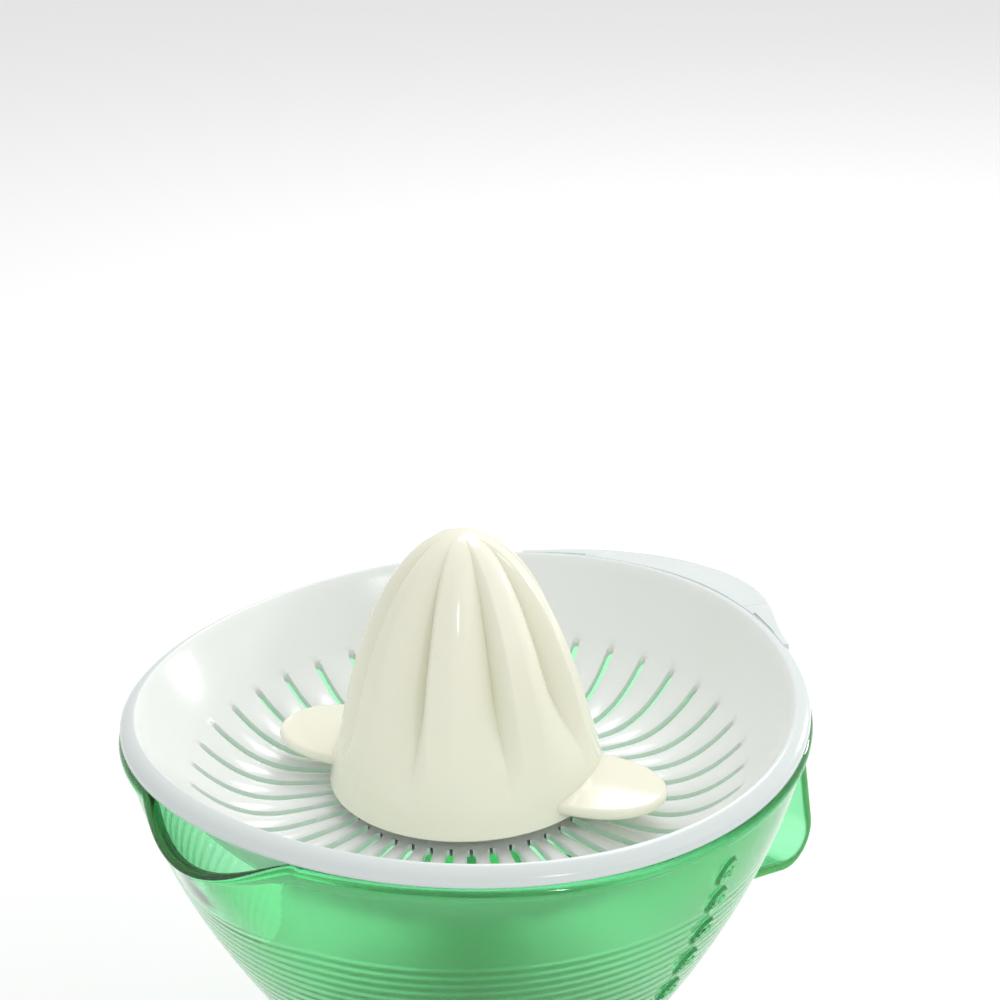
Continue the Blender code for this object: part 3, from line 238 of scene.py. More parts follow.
def meshFrom(name, points, faces, weld=1e-6):
    mesh = bpy.data.meshes.new(name)
    shape = bmesh.new()
    made = [shape.verts.new(p) for p in points]
    for face in faces:
        if len(set(face)) >= 3:
            shape.faces.new([made[i] for i in face])
    bmesh.ops.remove_doubles(shape, verts=shape.verts, dist=weld)
    bmesh.ops.recalc_face_normals(shape, faces=shape.faces)
    shape.to_mesh(mesh)
    shape.free()
    return mesh


def spunMesh(name, loop, angles):
    # a closed loop of (radius, height), turned about the press's axis
    count = len(loop)
    points = []
    for angle in angles:
        for r, z in loop:
            points.append((pressX + r * math.cos(angle), r * math.sin(angle), z))
    faces = []
    turns = len(angles)
    for j in range(turns):
        k = (j + 1) % turns
        for i in range(count):
            n = (i + 1) % count
            faces.append((j * count + i, k * count + i, k * count + n, j * count + n))
    return meshFrom(name, points, faces)


def evenAngles(count):
    return [2 * math.pi * i / count for i in range(count)]


def corner(x, z, radius, start, end, steps=6):
    # points round a small quarter or so, from one direction to another in degrees
    turns = [math.radians(mix(start, end, i / steps)) for i in range(steps + 1)]
    return [(x + radius * math.cos(t), z + radius * math.sin(t)) for t in turns]


def combined(base, other, how):
    step = base.modifiers.new("join", "BOOLEAN")
    step.operation = how
    step.solver = "MANIFOLD"
    step.object = other
    bpy.context.view_layer.update()
    mesh = bpy.data.meshes.new_from_object(base.evaluated_get(bpy.context.evaluated_depsgraph_get()))
    base.modifiers.clear()
    old = base.data
    base.data = mesh
    bpy.data.meshes.remove(old)
    bpy.data.objects.remove(other)


def looseObject(name, mesh):
    made = bpy.data.objects.new(name, mesh)
    bpy.context.scene.collection.objects.link(made)
    return made


jug = {
    "height": 0.0970, "rim": 0.0860, "foot": 0.0380, "curve": 1.6, "drop": 0.1013,
    "wall": 0.0022, "ring": 0.0400, "ringIn": 0.0375, "ringTop": 0.0025, "floor": 0.0050,
    "bead": 0.0038, "beadOut": 0.0006, "chimney": 0.0130, "chimneyDrop": 0.0296, "bore": 0.0108,
    "lipReach": 0.0055, "lipDip": 0.0066, "lipAngle": 17.5, "lipFade": 0.040,
    "stepFrom": 0.0285, "stepPitch": 0.0029, "stepCount": 20, "stepDepth": 0.00010,
    "markAngle": -90.5, "markLevels": [0.0172, 0.0268, 0.0376, 0.0484, 0.0592],
    "markWords": ["cl", "50", "40", "30", "20"], "markHalf": 0.0027, "markHigh": 0.0043, "markTilt": 35.0,
}
beadTop = jugFoot + jug["height"]


def jugRadius(z):
    down = max(0.0, (rimTop - z) / jug["drop"])
    return max(jug["ring"], jug["foot"] + (jug["rim"] - jug["foot"]) * (1 - down ** jug["curve"]))


def jugInside(z):
    slope = (jugRadius(z + 0.0005) - jugRadius(z - 0.0005)) / 0.001
    return jugRadius(z) - jug["wall"] * math.hypot(1, slope)


def jugSteps(z):
    # shallow rings on the lower wall, each a soft ledge
    down = rimTop - z - jug["stepFrom"]
    if not 0 < down < jug["stepPitch"] * jug["stepCount"]:
        return 0.0
    return jug["stepDepth"] * (math.cos(2 * math.pi * down / jug["stepPitch"]) - 1) / 2


def markLift(angle, z):
    # the almond-shaped pads that carry the volume numbers
    lift = 0.0
    for level in jug["markLevels"]:
        around = (math.remainder(angle - math.radians(jug["markAngle"]), 2 * math.pi)) * jugRadius(z)
        up = z - (rimTop - level)
        tilt = math.radians(jug["markTilt"])
        along = (around * math.sin(tilt) + up * math.cos(tilt)) / jug["markHigh"]
        across = (around * math.cos(tilt) - up * math.sin(tilt)) / (jug["markHalf"] * (1 + 0.25 * along))
        lift = max(lift, 0.0009 * ease((1 - math.hypot(along, across)) / 0.16))
    return lift


def jugShift(r, angle, z):
    away = abs(math.remainder(angle - math.pi, 2 * math.pi)) / math.radians(jug["lipAngle"])
    rise = 1 - (beadTop - z) / jug["lipFade"]
    if away < 1 and rise > 0 and r > 0.040:
        bell = (0.5 + 0.5 * math.cos(math.pi * away)) ** 0.62 * rise ** 1.5
        r += jug["lipReach"] * bell
        z -= jug["lipDip"] * bell * min(1.0, rise)
    return r, angle, z + rimWave(r, angle, z)


def jugColumns():
    turns = []
    angle = -180.0
    while angle < 179.99:
        turns.append(math.radians(angle))
        fine = abs(angle - jug["markAngle"]) < 7.5
        lip = abs(abs(angle) - 180) < 20
        angle += 0.25 if fine else (0.5 if lip else 1.0)
    return turns


def makeJug():
    top = beadTop
    bead = jug["bead"] / 2
    outerRows = 240
    wallTop = top - 2 * bead
    ringTop = jugFoot + jug["ringTop"]
    outer = []
    for i in range(outerRows + 1):
        z = mix(wallTop, ringTop, i / outerRows)
        outer.append((jugRadius(z), z))
    inner = []
    floorTop = jugFoot + jug["floor"]
    for i in range(81):
        z = mix(floorTop, wallTop, i / 80)
        inner.append((jugInside(z), z))
    lip = corner(jug["rim"] + jug["beadOut"] - bead, top - bead, bead, 190, -50, 16)
    chimneyTop = rimTop - jug["chimneyDrop"]
    loop = lip + outer
    loop += [(jug["ring"], jugFoot + 0.0006), (jug["ring"] - 0.0006, jugFoot), (jug["ringIn"] + 0.0006, jugFoot),
             (jug["ringIn"], jugFoot + 0.0006), (jug["ringIn"] - 0.0006, ringTop)]
    loop += [(jug["bore"] + 0.001, ringTop), (jug["bore"], ringTop + 0.001)]
    loop += [(jug["bore"], mix(ringTop, chimneyTop, i / 12)) for i in range(1, 12)]
    loop += [(jug["bore"], chimneyTop - 0.0004), (jug["bore"] + 0.0005, chimneyTop),
             (jug["chimney"] - 0.0005, chimneyTop), (jug["chimney"], chimneyTop - 0.0005)]
    loop += [(jug["chimney"], mix(chimneyTop, floorTop, i / 12)) for i in range(1, 12)]
    loop += [(jug["chimney"], floorTop + 0.003), (jug["chimney"] + 0.001, floorTop + 0.0008),
             (jug["chimney"] + 0.003, floorTop)]
    loop += [(inner[0][0] - 0.0035, floorTop), (inner[0][0] - 0.001, floorTop + 0.0004)]
    loop += inner[3:]
    firstOuter = len(lip)
    lastOuter = firstOuter + outerRows
    columns = jugColumns()
    points = []
    for angle in columns:
        for i, (r, z) in enumerate(loop):
            if firstOuter <= i <= lastOuter:
                r += jugSteps(z) + markLift(angle, z)
            r, turned, z = jugShift(r, angle, z)
            points.append((pressX + r * math.cos(turned), r * math.sin(turned), z))
    count = len(loop)
    faces = []
    for j in range(len(columns)):
        k = (j + 1) % len(columns)
        for i in range(count):
            n = (i + 1) % count
            faces.append((j * count + i, k * count + i, k * count + n, j * count + n))
    return meshFrom("jugShell", points, faces)


# the handle's path as (from the axis, below the rim), with the bend at each corner
handle = {
    "corners": [(0.0975, 0.0085, 0.0120), (0.1153, 0.0560, 0.0500), (0.1224, 0.0974, 0.0094)],
    "root": 0.0794, "width": 0.0430, "thick": 0.0030, "soft": 0.0011,
}


def bendPoints(middle, before, after, radius, steps):
    middle, before, after = Vector(middle), Vector(before), Vector(after)
    first = (before - middle).normalized()
    last = (after - middle).normalized()
    half = first.angle(last) / 2
    centre = middle + (first + last).normalized() * radius / math.sin(half)
    start = middle + first * radius / math.tan(half) - centre
    end = middle + last * radius / math.tan(half) - centre
    sweep = start.angle_signed(end)
    turns = [math.atan2(start.y, start.x) - sweep * i / steps for i in range(steps + 1)]
    return [(centre.x + radius * math.cos(t), centre.y + radius * math.sin(t)) for t in turns]


def handlePath():
    corners = [(x, rimTop - down) for x, down, _ in handle["corners"]]
    root = rimTop - handle["root"]
    start = (jugRadius(corners[0][1]) - jug["wall"] * 0.9, corners[0][1])
    end = (jugRadius(root) - jug["wall"] * 0.9, root)
    stops = [start, *corners, end]
    path = [start]
    for i, (place, spec) in enumerate(zip(corners, handle["corners"])):
        path += bendPoints(place, stops[i], stops[i + 2], spec[2], 14)
    path.append(end)
    return path


def strapMesh():
    path = handlePath()
    half = handle["width"] / 2
    soft = handle["soft"]
    thick = handle["thick"] / 2
    section = []  # (across, out) with rounded edges
    for x, y, a, b in ((half - soft, thick - soft, 0, 90), (-half + soft, thick - soft, 90, 180),
                       (-half + soft, -thick + soft, 180, 270), (half - soft, -thick + soft, 270, 360)):
        section += corner(x, y, soft, a, b, 5)
    points = []
    for i, point in enumerate(path):
        before = path[max(0, i - 1)]
        after = path[min(len(path) - 1, i + 1)]
        along = Vector((after[0] - before[0], after[1] - before[1])).normalized()
        out = Vector((-along.y, along.x))
        for across, lift in section:
            r = point[0] + out.x * lift
            z = point[1] + out.y * lift
            angle = math.atan2(across, max(0.04, r))
            far = math.hypot(r, across)
            points.append((pressX + r, across, z + rimWave(far, angle, z)))
    count = len(section)
    faces = [tuple(range(count)), tuple(reversed(range(len(points) - count, len(points))))]
    for row in range(len(path) - 1):
        for i in range(count):
            n = (i + 1) % count
            faces.append((row * count + i, row * count + n, (row + 1) * count + n, (row + 1) * count + i))
    return meshFrom("strap", points, faces)


jugObject = looseObject("jugShell", makeJug())
combined(jugObject, looseObject("strap", strapMesh()), "UNION")
jugMesh = jugObject.data.copy()
hazy = jugMesh.attributes.new("hazy", "FLOAT", "POINT")
for v in jugMesh.vertices:
    r = math.hypot(v.co.x - pressX, v.co.y)
    within = jugFoot + 0.004 < v.co.z < beadTop - 0.004 and r < jugRadius(v.co.z) - jug["wall"] * 0.7
    strapEdge = r > jug["rim"] + 0.002 and v.co.x > 0 and abs(v.co.y) > handle["width"] / 2 - 0.0016
    hazy.data[v.index].value = 1.0 if within else (0.8 if strapEdge else 0.0)
bpy.data.objects.remove(jugObject)
makePiece("jugShell", jugMesh, "jugGreen", "jug", ["jug"], 50)
print("jug:", len(jugMesh.polygons), "faces")


def wrapWord(word, level):
    # a raised number, laid round the wall on its pad
    curve = bpy.data.curves.new("word", "FONT")
    curve.body = word
    curve.size = 0.0044
    curve.align_x = "CENTER"
    curve.extrude = 0.00035
    curve.bevel_depth = 0.00005
    loose = looseObject("word", curve)
    bpy.context.view_layer.update()
    mesh = bpy.data.meshes.new_from_object(loose.evaluated_get(bpy.context.evaluated_depsgraph_get()))
    bpy.data.objects.remove(loose)
    base = rimTop - level - 0.0014
    for v in mesh.vertices:
        z = base + v.co.y * 0.92
        r = jugRadius(z) + 0.0008 + v.co.z
        angle = math.radians(jug["markAngle"]) + v.co.x / jugRadius(z)
        r, angle, z = jugShift(r, angle, z)
        v.co = (pressX + r * math.cos(angle), r * math.sin(angle), z)
    return mesh


for i, (word, level) in enumerate(zip(jug["markWords"], jug["markLevels"])):
    makePiece(f"volumeMark{i + 1}", wrapWord(word, level), "jugGreen", "jug")
print("volume marks made")


sieve = {
    "rim": 0.0860, "flange": 0.0040, "skirt": 0.0040, "skin": 0.0018, "depth": 0.0290, "curve": 2.2,
    "gutter": 0.0480, "land": 0.0260, "rise": 0.0022, "neck": 0.0092, "neckHigh": 0.0043, "bore": 0.0064,
    "collarIn": 0.0134, "collarOut": 0.0152, "collarDrop": 0.0080,
    "slots": 40, "slotHalf": 0.0011, "slotIn": 0.0310, "slotOut": 0.0700, "rib": 0.0007, "landColumns": 7,
    "tabReach": 0.1025, "tabHalf": 33.0, "tabDroop": 0.0040, "tabThick": 0.0020,
}
landZ = rimTop - sieve["depth"] + sieve["rise"]


def dishZ(r):
    if r > sieve["gutter"]:
        out = min(1.0, (r - sieve["gutter"]) / (sieve["rim"] - sieve["flange"] - sieve["gutter"]))
        return rimTop - sieve["depth"] * (1 - out ** sieve["curve"])
    inward = min(1.0, (sieve["gutter"] - r) / (sieve["gutter"] - sieve["land"]))
    return rimTop - sieve["depth"] + sieve["rise"] * inward ** 1.5


def dishUnder(r):
    slope = (dishZ(r + 0.0005) - dishZ(r - 0.0005)) / 0.001
    return dishZ(r) - sieve["skin"] * math.hypot(1, slope)


def slotHalf(r):
    half = sieve["slotHalf"]
    outEdge = sieve["slotOut"] - half
    inEdge = sieve["slotIn"] + half
    if r > sieve["slotOut"] or r < sieve["slotIn"]:
        return half
    if r > outEdge:
        return math.sqrt(max(0.0, half ** 2 - (r - outEdge) ** 2))
    if r < inEdge:
        return math.sqrt(max(0.0, half ** 2 - (inEdge - r) ** 2))
    return half


def slotRows():
    half = sieve["slotHalf"]
    ends = [math.sin(math.radians(a)) for a in (0, 30, 50, 70, 90)]
    rows = [sieve["slotIn"] + half - half * s for s in reversed(ends)]
    rows += [mix(sieve["slotIn"] + half, sieve["slotOut"] - half, i / 26) for i in range(1, 26)]
    rows += [sieve["slotOut"] - half + half * s for s in ends]
    return rows


def makeSieve():
    rows = slotRows()
    before = [mix(sieve["neck"] + 0.001, sieve["slotIn"], i / 12) for i in range(1, 12)]
    after = [mix(sieve["slotOut"], sieve["rim"] - sieve["flange"], i / 9) for i in range(1, 10)]
    topR = before + rows + after
    top = [(r, dishZ(r)) for r in topR]
    low = [(r, dishUnder(r)) for r in topR]
    rim = sieve["rim"]
    edge = [(rim - 0.0037, rimTop + 0.0003), (rim - 0.0033, rimTop + 0.0003), (rim - 0.0020, rimTop - 0.0003),
            (rim - 0.0011, rimTop - 0.0009), (rim - 0.0005, rimTop - 0.0015), (rim - 0.0001, rimTop - 0.0021),
            (rim, rimTop - 0.0026),
            (rim, rimTop - sieve["skirt"] + 0.0004), (rim - 0.0004, rimTop - sieve["skirt"]),
            (rim - 0.0014, rimTop - sieve["skirt"]), (rim - 0.0018, rimTop - sieve["skirt"] + 0.0004),
            (rim - 0.0018, rimTop - 0.0024), (rim - 0.0026, rimTop - 0.0018)]
    neckTop = landZ + sieve["neckHigh"]
    under = landZ - sieve["skin"]
    hub = [(sieve["bore"], under), (sieve["bore"], neckTop - 0.0003), (sieve["bore"] + 0.0003, neckTop),
           (sieve["neck"] - 0.0005, neckTop), (sieve["neck"], neckTop - 0.0005), (sieve["neck"], landZ + 0.001),
           (sieve["neck"] + 0.0004, landZ + 0.0003)]
    lowPart = [p for p in low if p[0] > sieve["collarOut"] + 0.001]
    collar = [(sieve["collarOut"], under), (sieve["collarOut"], under - sieve["collarDrop"]),
              (sieve["collarIn"], under - sieve["collarDrop"]), (sieve["collarIn"], under)]
    loop = hub + top + edge + lowPart[::-1] + collar
    count = len(loop)
    topFirst = len(hub) + len(before)  # the row at the slots' inner ends
    topLast = topFirst + len(rows) - 1
    lowFirst = len(hub) + len(top) + len(edge) + len(after)  # the same rows underneath, from outside in
    lowLast = lowFirst + len(rows) - 1
    pitch = 2 * math.pi / sieve["slots"]
    perSlot = sieve["landColumns"] + 1
    points = []
    for s in range(sieve["slots"]):
        for c in range(perSlot):
            for i, (r, z) in enumerate(loop):
                half = math.asin(min(0.9, slotHalf(r) / max(r, 0.004)))
                half = min(half, pitch * 0.25)
                if c == 0:
                    angle = -half
                else:
                    angle = mix(half, pitch - half, (c - 1) / (perSlot - 1))
                lift = 0.0
                if topFirst - 2 <= i <= topLast + 2 and c > 0:
                    across = (c - 1) / (perSlot - 1)
                    fade = ease((r - sieve["slotIn"]) / 0.006) * ease((sieve["slotOut"] + 0.002 - r) / 0.010)
                    lift = sieve["rib"] * fade * math.sin(math.pi * across) ** 0.7
                angle += s * pitch
                z += lift
                points.append((pressX + r * math.cos(angle), r * math.sin(angle), z + rimWave(r, angle, z)))
    faces = []
    columns = sieve["slots"] * perSlot
    pairs = {topFirst + n: lowLast - n for n in range(len(rows))}
    for j in range(columns):
        k = (j + 1) % columns
        slotColumn = j % perSlot == 0
        for i in range(count):
            n = (i + 1) % count
            if slotColumn and (topFirst <= i < topLast or lowFirst <= i < lowLast):
                continue
            faces.append((j * count + i, k * count + i, k * count + n, j * count + n))
        if slotColumn:
            for i in range(topFirst, topLast):
                a, b = pairs[i], pairs[i + 1]
                faces.append((j * count + i, j * count + i + 1, j * count + b, j * count + a))
                faces.append((k * count + i + 1, k * count + i, k * count + a, k * count + b))
    return meshFrom("sieveBody", points, faces)


def makeTab():
    # the grip lobe: a drooping plate with a sunk middle, a slit along the rim and two crescent holes
    half = sieve["tabHalf"]
    turns = [mix(-half, half, i / 132) for i in range(133)]
    shares = [0.0, 0.04, 0.075, 0.10, 0.14, 0.19, 0.26, 0.35, 0.5, 0.65, 0.8, 0.9, 0.96, 1.0]
    start = sieve["rim"] - 0.0016
    rows = []
    for degrees in turns:
        bell = 0.5 + 0.5 * math.cos(math.pi * degrees / half)
        reach = max(sieve["rim"] - 0.0002, sieve["rim"] + (sieve["tabReach"] - sieve["rim"]) * bell)
        shoulder = ease((abs(degrees) - 16.6) / 0.9)
        row = []
        for s in shares:
            r = start + (reach - start) * s
            beyond = max(0.0, (r - sieve["rim"]) / (sieve["tabReach"] - sieve["rim"]))
            top = rimTop - 0.0004 - sieve["tabDroop"] * beyond ** 1.3
            top -= 0.0009 * (1 - shoulder) * (1 - ease((s - 0.55) / 0.45)) * ease(s / 0.12)
            top -= 0.0005 * ease((s - 0.9) / 0.1)
            if s in (0.04, 0.075) and abs(degrees) < 16.5:
                top -= 0.0011
            row.append((r, top, top - sieve["tabThick"] + 0.0006 * ease((s - 0.9) / 0.1)))
        rows.append((math.radians(degrees), row))
    points = []
    for angle, row in rows:
        for r, top, low in row:
            for z in (top, low):
                points.append((pressX + r * math.cos(angle), r * math.sin(angle), z + rimWave(r, angle, z)))
    n = len(shares)

    def at(j, i, side):
        return (j * n + i) * 2 + side

    def solid(j, i):
        if not (0 <= j < len(rows) - 1 and 0 <= i < n - 1):
            return False
        middle = abs(math.degrees(rows[j][0] + rows[j + 1][0]) / 2)
        return not (20.4 < middle < 28.5 and i in (1, 2, 3))

    faces = []
    for j in range(len(rows) - 1):
        for i in range(n - 1):
            if not solid(j, i):
                continue
            faces.append((at(j, i, 0), at(j, i + 1, 0), at(j + 1, i + 1, 0), at(j + 1, i, 0)))
            faces.append((at(j, i, 1), at(j + 1, i, 1), at(j + 1, i + 1, 1), at(j, i + 1, 1)))
            if not solid(j - 1, i):
                faces.append((at(j, i, 0), at(j, i, 1), at(j, i + 1, 1), at(j, i + 1, 0)))
            if not solid(j + 1, i):
                faces.append((at(j + 1, i, 0), at(j + 1, i + 1, 0), at(j + 1, i + 1, 1), at(j + 1, i, 1)))
            if not solid(j, i - 1):
                faces.append((at(j, i, 0), at(j + 1, i, 0), at(j + 1, i, 1), at(j, i, 1)))
            if not solid(j, i + 1):
                faces.append((at(j, i + 1, 0), at(j, i + 1, 1), at(j + 1, i + 1, 1), at(j + 1, i + 1, 0)))
    return meshFrom("gripTab", points, faces, 1e-7)


sieveMesh = makeSieve()
makePiece("sieveBody", sieveMesh, "sieveWhite", "sieve", ["sieve"], 55)
# the flange and skirt faces take a darker, cooler copy of the sieve's white: painted shade
sieveMesh.materials.append(finishes["rimShadedWhite"])
for face in sieveMesh.polygons:
    if math.hypot(face.center.x - pressX, face.center.y) > sieve["rim"] - sieve["flange"] + 0.0003:
        face.material_index = 1
# the grip tab takes the same darker, cooler white: painted shade
makePiece("gripTab", makeTab(), "rimShadedWhite", "sieve", (), 55)
print("sieve:", len(sieveMesh.polygons), "faces")


cone = {
    "base": rimTop - 0.0232, "radius": 0.0352, "height": 0.0665, "taper": 0.42, "skin": 0.0020,
    "lobes": 8, "steep": 0.17, "flank": 0.42, "sharp": 1.4, "turn": 18.0, "columns": 480, "rows": 110,
    "start": 0.0060, "deep": 0.0062, "deepest": 0.42, "leastShare": 0.3,
    "paddleTip": 0.0535, "paddleHalf": 0.0145, "paddleTurn": 108.0, "paddleLift": 0.0018, "paddleThick": 0.0030,
}


def grooveAt(angle):
    # 1 in the crease, 0 on the round of a lobe; one side is steep, the other a broad flat flank
    across = (angle * cone["lobes"] / (2 * math.pi)) % 1.0
    steep = max(0.0, 1 - across / cone["steep"])
    flank = max(0.0, (across - cone["flank"]) / (1 - cone["flank"]))
    return max(steep, flank) ** cone["sharp"]


def coneRadius(share):
    return cone["radius"] * (1 - cone["taper"] * share) * math.sqrt(max(0.0, 1 - share ** 4))


def lobedRadius(r, angle, z, base, height, deep, start):
    share = (z - base - start) / (height - start)
    if share <= 0 or r < 1e-5:
        return r
    past = max(0.0, (min(1.0, share) - cone["deepest"]) / (1 - cone["deepest"]))
    fade = ease(share / cone["deepest"]) * (1 - past ** 2)
    return r * max(cone["leastShare"], 1 - deep * fade * grooveAt(angle) / r)


def makeCone():
    base, height = cone["base"], cone["height"]
    spin = math.radians(cone["turn"])
    outer = []
    for i in range(cone["rows"] + 1):
        share = 1 - (1 - i / cone["rows"]) ** 1.6
        outer.append((coneRadius(share), base + height * share))
    outer[-1] = (0.0, base + height)
    foot = [(cone["radius"] - cone["skin"], base), (cone["radius"] - 0.0006, base),
            (cone["radius"] - 0.0001, base + 0.0005)]
    inner = []
    for share in (0.78, 0.70, 0.56, 0.36, 0.12):
        room = cone["deep"] * math.sin(math.pi * max(0.0, share - 0.10) ** 0.7)
        inner.append((coneRadius(share) - cone["skin"] - max(0.0, room), base + height * share))
    inner = [(0.0, inner[0][1] + 0.002), *inner]
    loop = foot + outer[1:] + inner
    outerFirst = len(foot)
    outerLast = outerFirst + len(outer) - 2
    points = []
    for angle in evenAngles(cone["columns"]):
        for i, (r, z) in enumerate(loop):
            if outerFirst <= i <= outerLast:
                r = lobedRadius(r, angle, z, base, height, cone["deep"], cone["start"])
            points.append((pressX + r * math.cos(angle + spin), r * math.sin(angle + spin), z))
    count = len(loop)
    faces = []
    for j in range(cone["columns"]):
        k = (j + 1) % cone["columns"]
        for i in range(count):
            n = (i + 1) % count
            if i == outerLast:  # both ends of this step stand on the axis
                continue
            faces.append((j * count + i, k * count + i, k * count + n, j * count + n))
    return meshFrom("reamerCone", points, faces)


def makePaddle(index):
    # a leaf with rounded edges, slightly crowned on top
    root = cone["radius"] - 0.005
    tip = cone["paddleTip"]
    half = cone["paddleHalf"]
    turn = math.radians(cone["paddleTurn"]) + math.pi * index
    low = cone["base"] + cone["paddleLift"]
    rings = []
    for k in range(9):  # from the underside's edge round to the top
        t = math.pi * (k / 8 - 0.5)
        rings.append((math.cos(t), math.sin(t)))
    outline = []
    steps = 36
    for i in range(steps + 1):
        t = math.pi * (i / steps - 0.5)
        s = math.cos(t)
        reach = root + (tip - root) * abs(s) ** (2 / 2.4)
        outline.append((reach, half * math.sin(t)))
    soft = cone["paddleThick"] / 2
    points = []
    for out, up in rings:
        for x, y in outline:
            way = Vector((x - root, y)).normalized() if (x - root) or y else Vector((1, 0))
            x2 = x - way.x * soft * (1 - out)
            y2 = y - way.y * soft * (1 - out)
            z = low + soft * (1 + up)
            points.append((x2, y2, z))
    count = len(outline)
    faces = []
    for row in range(len(rings) - 1):
        for i in range(count - 1):
            faces.append((row * count + i, row * count + i + 1, (row + 1) * count + i + 1, (row + 1) * count + i))
    crown = []
    for share in (0.75, 0.5, 0.25, 0.0):  # rows towards the middle of the top, rising a little
        for x, y in outline:
            x2 = root + (x - soft - root) * share
            crown.append((x2, y * share * 0.93, low + 2 * soft + 0.0012 * (1 - share ** 2)))
    first = len(points)
    points += crown
    lastRing = (len(rings) - 1) * count
    starts = [lastRing] + [first + n * count for n in range(4)]
    for a, b in zip(starts, starts[1:]):
        for i in range(count - 1):
            faces.append((a + i, a + i + 1, b + i + 1, b + i))
    faces.append(tuple(range(count)))  # the flat underside
    edge = [row * count for row in range(len(rings))] + starts[1:]
    back = [row * count + count - 1 for row in range(len(rings))] + [s + count - 1 for s in starts[1:]]
    faces.append(tuple(edge + back[::-1][1:]))
    spun = []
    for x, y, z in points:
        spun.append((pressX + x * math.cos(turn) - y * math.sin(turn), x * math.sin(turn) + y * math.cos(turn), z))
    return meshFrom(f"paddle{index + 1}", spun, faces)


coneMesh = makeCone()
makePiece("reamerCone", coneMesh, "coneCream", "large_cone", ["large_cone"], 28)
for index in (0, 1):
    makePiece(f"paddle{index + 1}", makePaddle(index), "coneCream", "large_cone", (), 40)
print("cone:", len(coneMesh.polygons), "faces")

nodes["small_cone"].data.materials.clear()
nodes["small_cone"].data.materials.append(finishes["coneCream"])
nodes["small_cone"].data.shade_smooth()


base = {
    "height": 0.0620, "wide": 0.0700, "narrow": 0.0510, "wall": 0.0025, "round": 0.0030, "recess": 0.0015,
    "ringRoom": 0.0404, "boss": 0.0104, "bossHigh": 0.0140, "bossDrop": 0.0095, "bore": 0.0058,
    "cordAt": 0.0140, "cordHole": 0.0053, "postRadius": 0.0035, "postFrom": 0.0318, "postHole": 0.0390,
    "lugRadius": 0.0045, "lugFrom": 0.0048, "lugTop": 0.0145, "screwHole": 0.0017,
}
recessZ = jugFoot - 0.0003
baseTop = recessZ + base["recess"]


def baseRadius(z):
    rise = 1 - (baseTop - z) / base["height"]
    return base["narrow"] + (base["wide"] - base["narrow"]) * (1 - rise ** 2)


def rodMesh(name, place, radius, low, high, count=48):
    # an upright round rod, or a round cutter
    ring = [(radius * math.cos(t), radius * math.sin(t)) for t in evenAngles(count)]
    points = [(place[0] + x, place[1] + y, z) for z in (low, high) for x, y in ring]
    faces = [tuple(reversed(range(count))), tuple(range(count, 2 * count))]
    faces += [(i, (i + 1) % count, count + (i + 1) % count, count + i) for i in range(count)]
    return meshFrom(name, points, faces)


def makeBase():
    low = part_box("base_housing")[0].z
    ceiling = recessZ - base["wall"]
    shoulder = baseTop - base["round"]
    side = [mix(shoulder, low + 0.0006, i / 40) for i in range(41)]
    bossTop = recessZ + base["bossHigh"]
    loop = [(base["bore"], bossTop - 0.0004), (base["bore"] + 0.0004, bossTop)]
    loop += corner(base["boss"] - 0.001, bossTop - 0.001, 0.001, 90, 0, 5)
    loop += [(base["boss"], recessZ + 0.0010), (base["boss"] + 0.0003, recessZ + 0.0003)]
    loop += [(base["boss"] + 0.001, recessZ)]
    loop += [(base["ringRoom"] - 0.001, recessZ), (base["ringRoom"], recessZ + 0.0004)]
    loop += corner(base["ringRoom"] + 0.0007, baseTop - 0.0007, 0.0007, 180, 90, 5)
    loop += corner(baseRadius(shoulder) - base["round"], shoulder, base["round"], 90, 4, 10)
    loop += [(baseRadius(z), z) for z in side]
    loop += [(baseRadius(low) - 0.0004, low), (baseRadius(low) - base["wall"] + 0.0002, low)]
    loop += [(baseRadius(z) - base["wall"], z) for z in side[:1:-1]]
    loop += [(baseRadius(shoulder) - base["wall"] - 0.003, ceiling), (base["boss"] + 0.001, ceiling)]
    loop += [(base["boss"], ceiling - 0.001), (base["boss"], ceiling - base["bossDrop"])]
    loop += [(base["bore"], ceiling - base["bossDrop"])]
    shell = looseObject("baseShell", spunMesh("baseShell", loop, evenAngles(240)))
    for i in (1, 2, 3, 4):
        for screw, radius, start, stop, hole in (
                ("chassis", base["postRadius"], base["postFrom"], ceiling + 0.0003, base["postHole"]),
                ("cover", base["lugRadius"], base["lugFrom"], base["lugTop"], base["lugTop"] - 0.001)):
            low3, high3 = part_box(f"{screw}_screw_{i}")
            place = ((low3.x + high3.x) / 2, (low3.y + high3.y) / 2)
            combined(shell, looseObject("post", rodMesh("post", place, radius, start, stop)), "UNION")
            below = low3.z - 0.0002
            drill = looseObject("hole", rodMesh("hole", place, base["screwHole"], below, hole))
            combined(shell, drill, "DIFFERENCE")
    slope = (baseRadius(base["cordAt"] - 0.0005) - baseRadius(base["cordAt"] + 0.0005)) / 0.001
    hole = rodMesh("cordHole", (0, 0), base["cordHole"], -0.0055, 0.0055)
    hole.transform(Matrix.Translation((pressX, baseRadius(base["cordAt"]), base["cordAt"]))
                   @ Matrix.Rotation(math.atan(slope) - math.pi / 2, 4, "X"))
    combined(shell, looseObject("cordHole", hole), "DIFFERENCE")
    mesh = shell.data.copy()
    bpy.data.objects.remove(shell)
    return mesh


baseMesh = makeBase()
makePiece("baseShell", baseMesh, "baseWhite", "base", ["base_housing"], 35)
print("base:", len(baseMesh.polygons), "faces")


spring = {"radius": 0.0044, "wire": 0.0006, "turns": 4.0, "flat": 0.10, "travel": 0.0025, "steps": 60, "sides": 16}


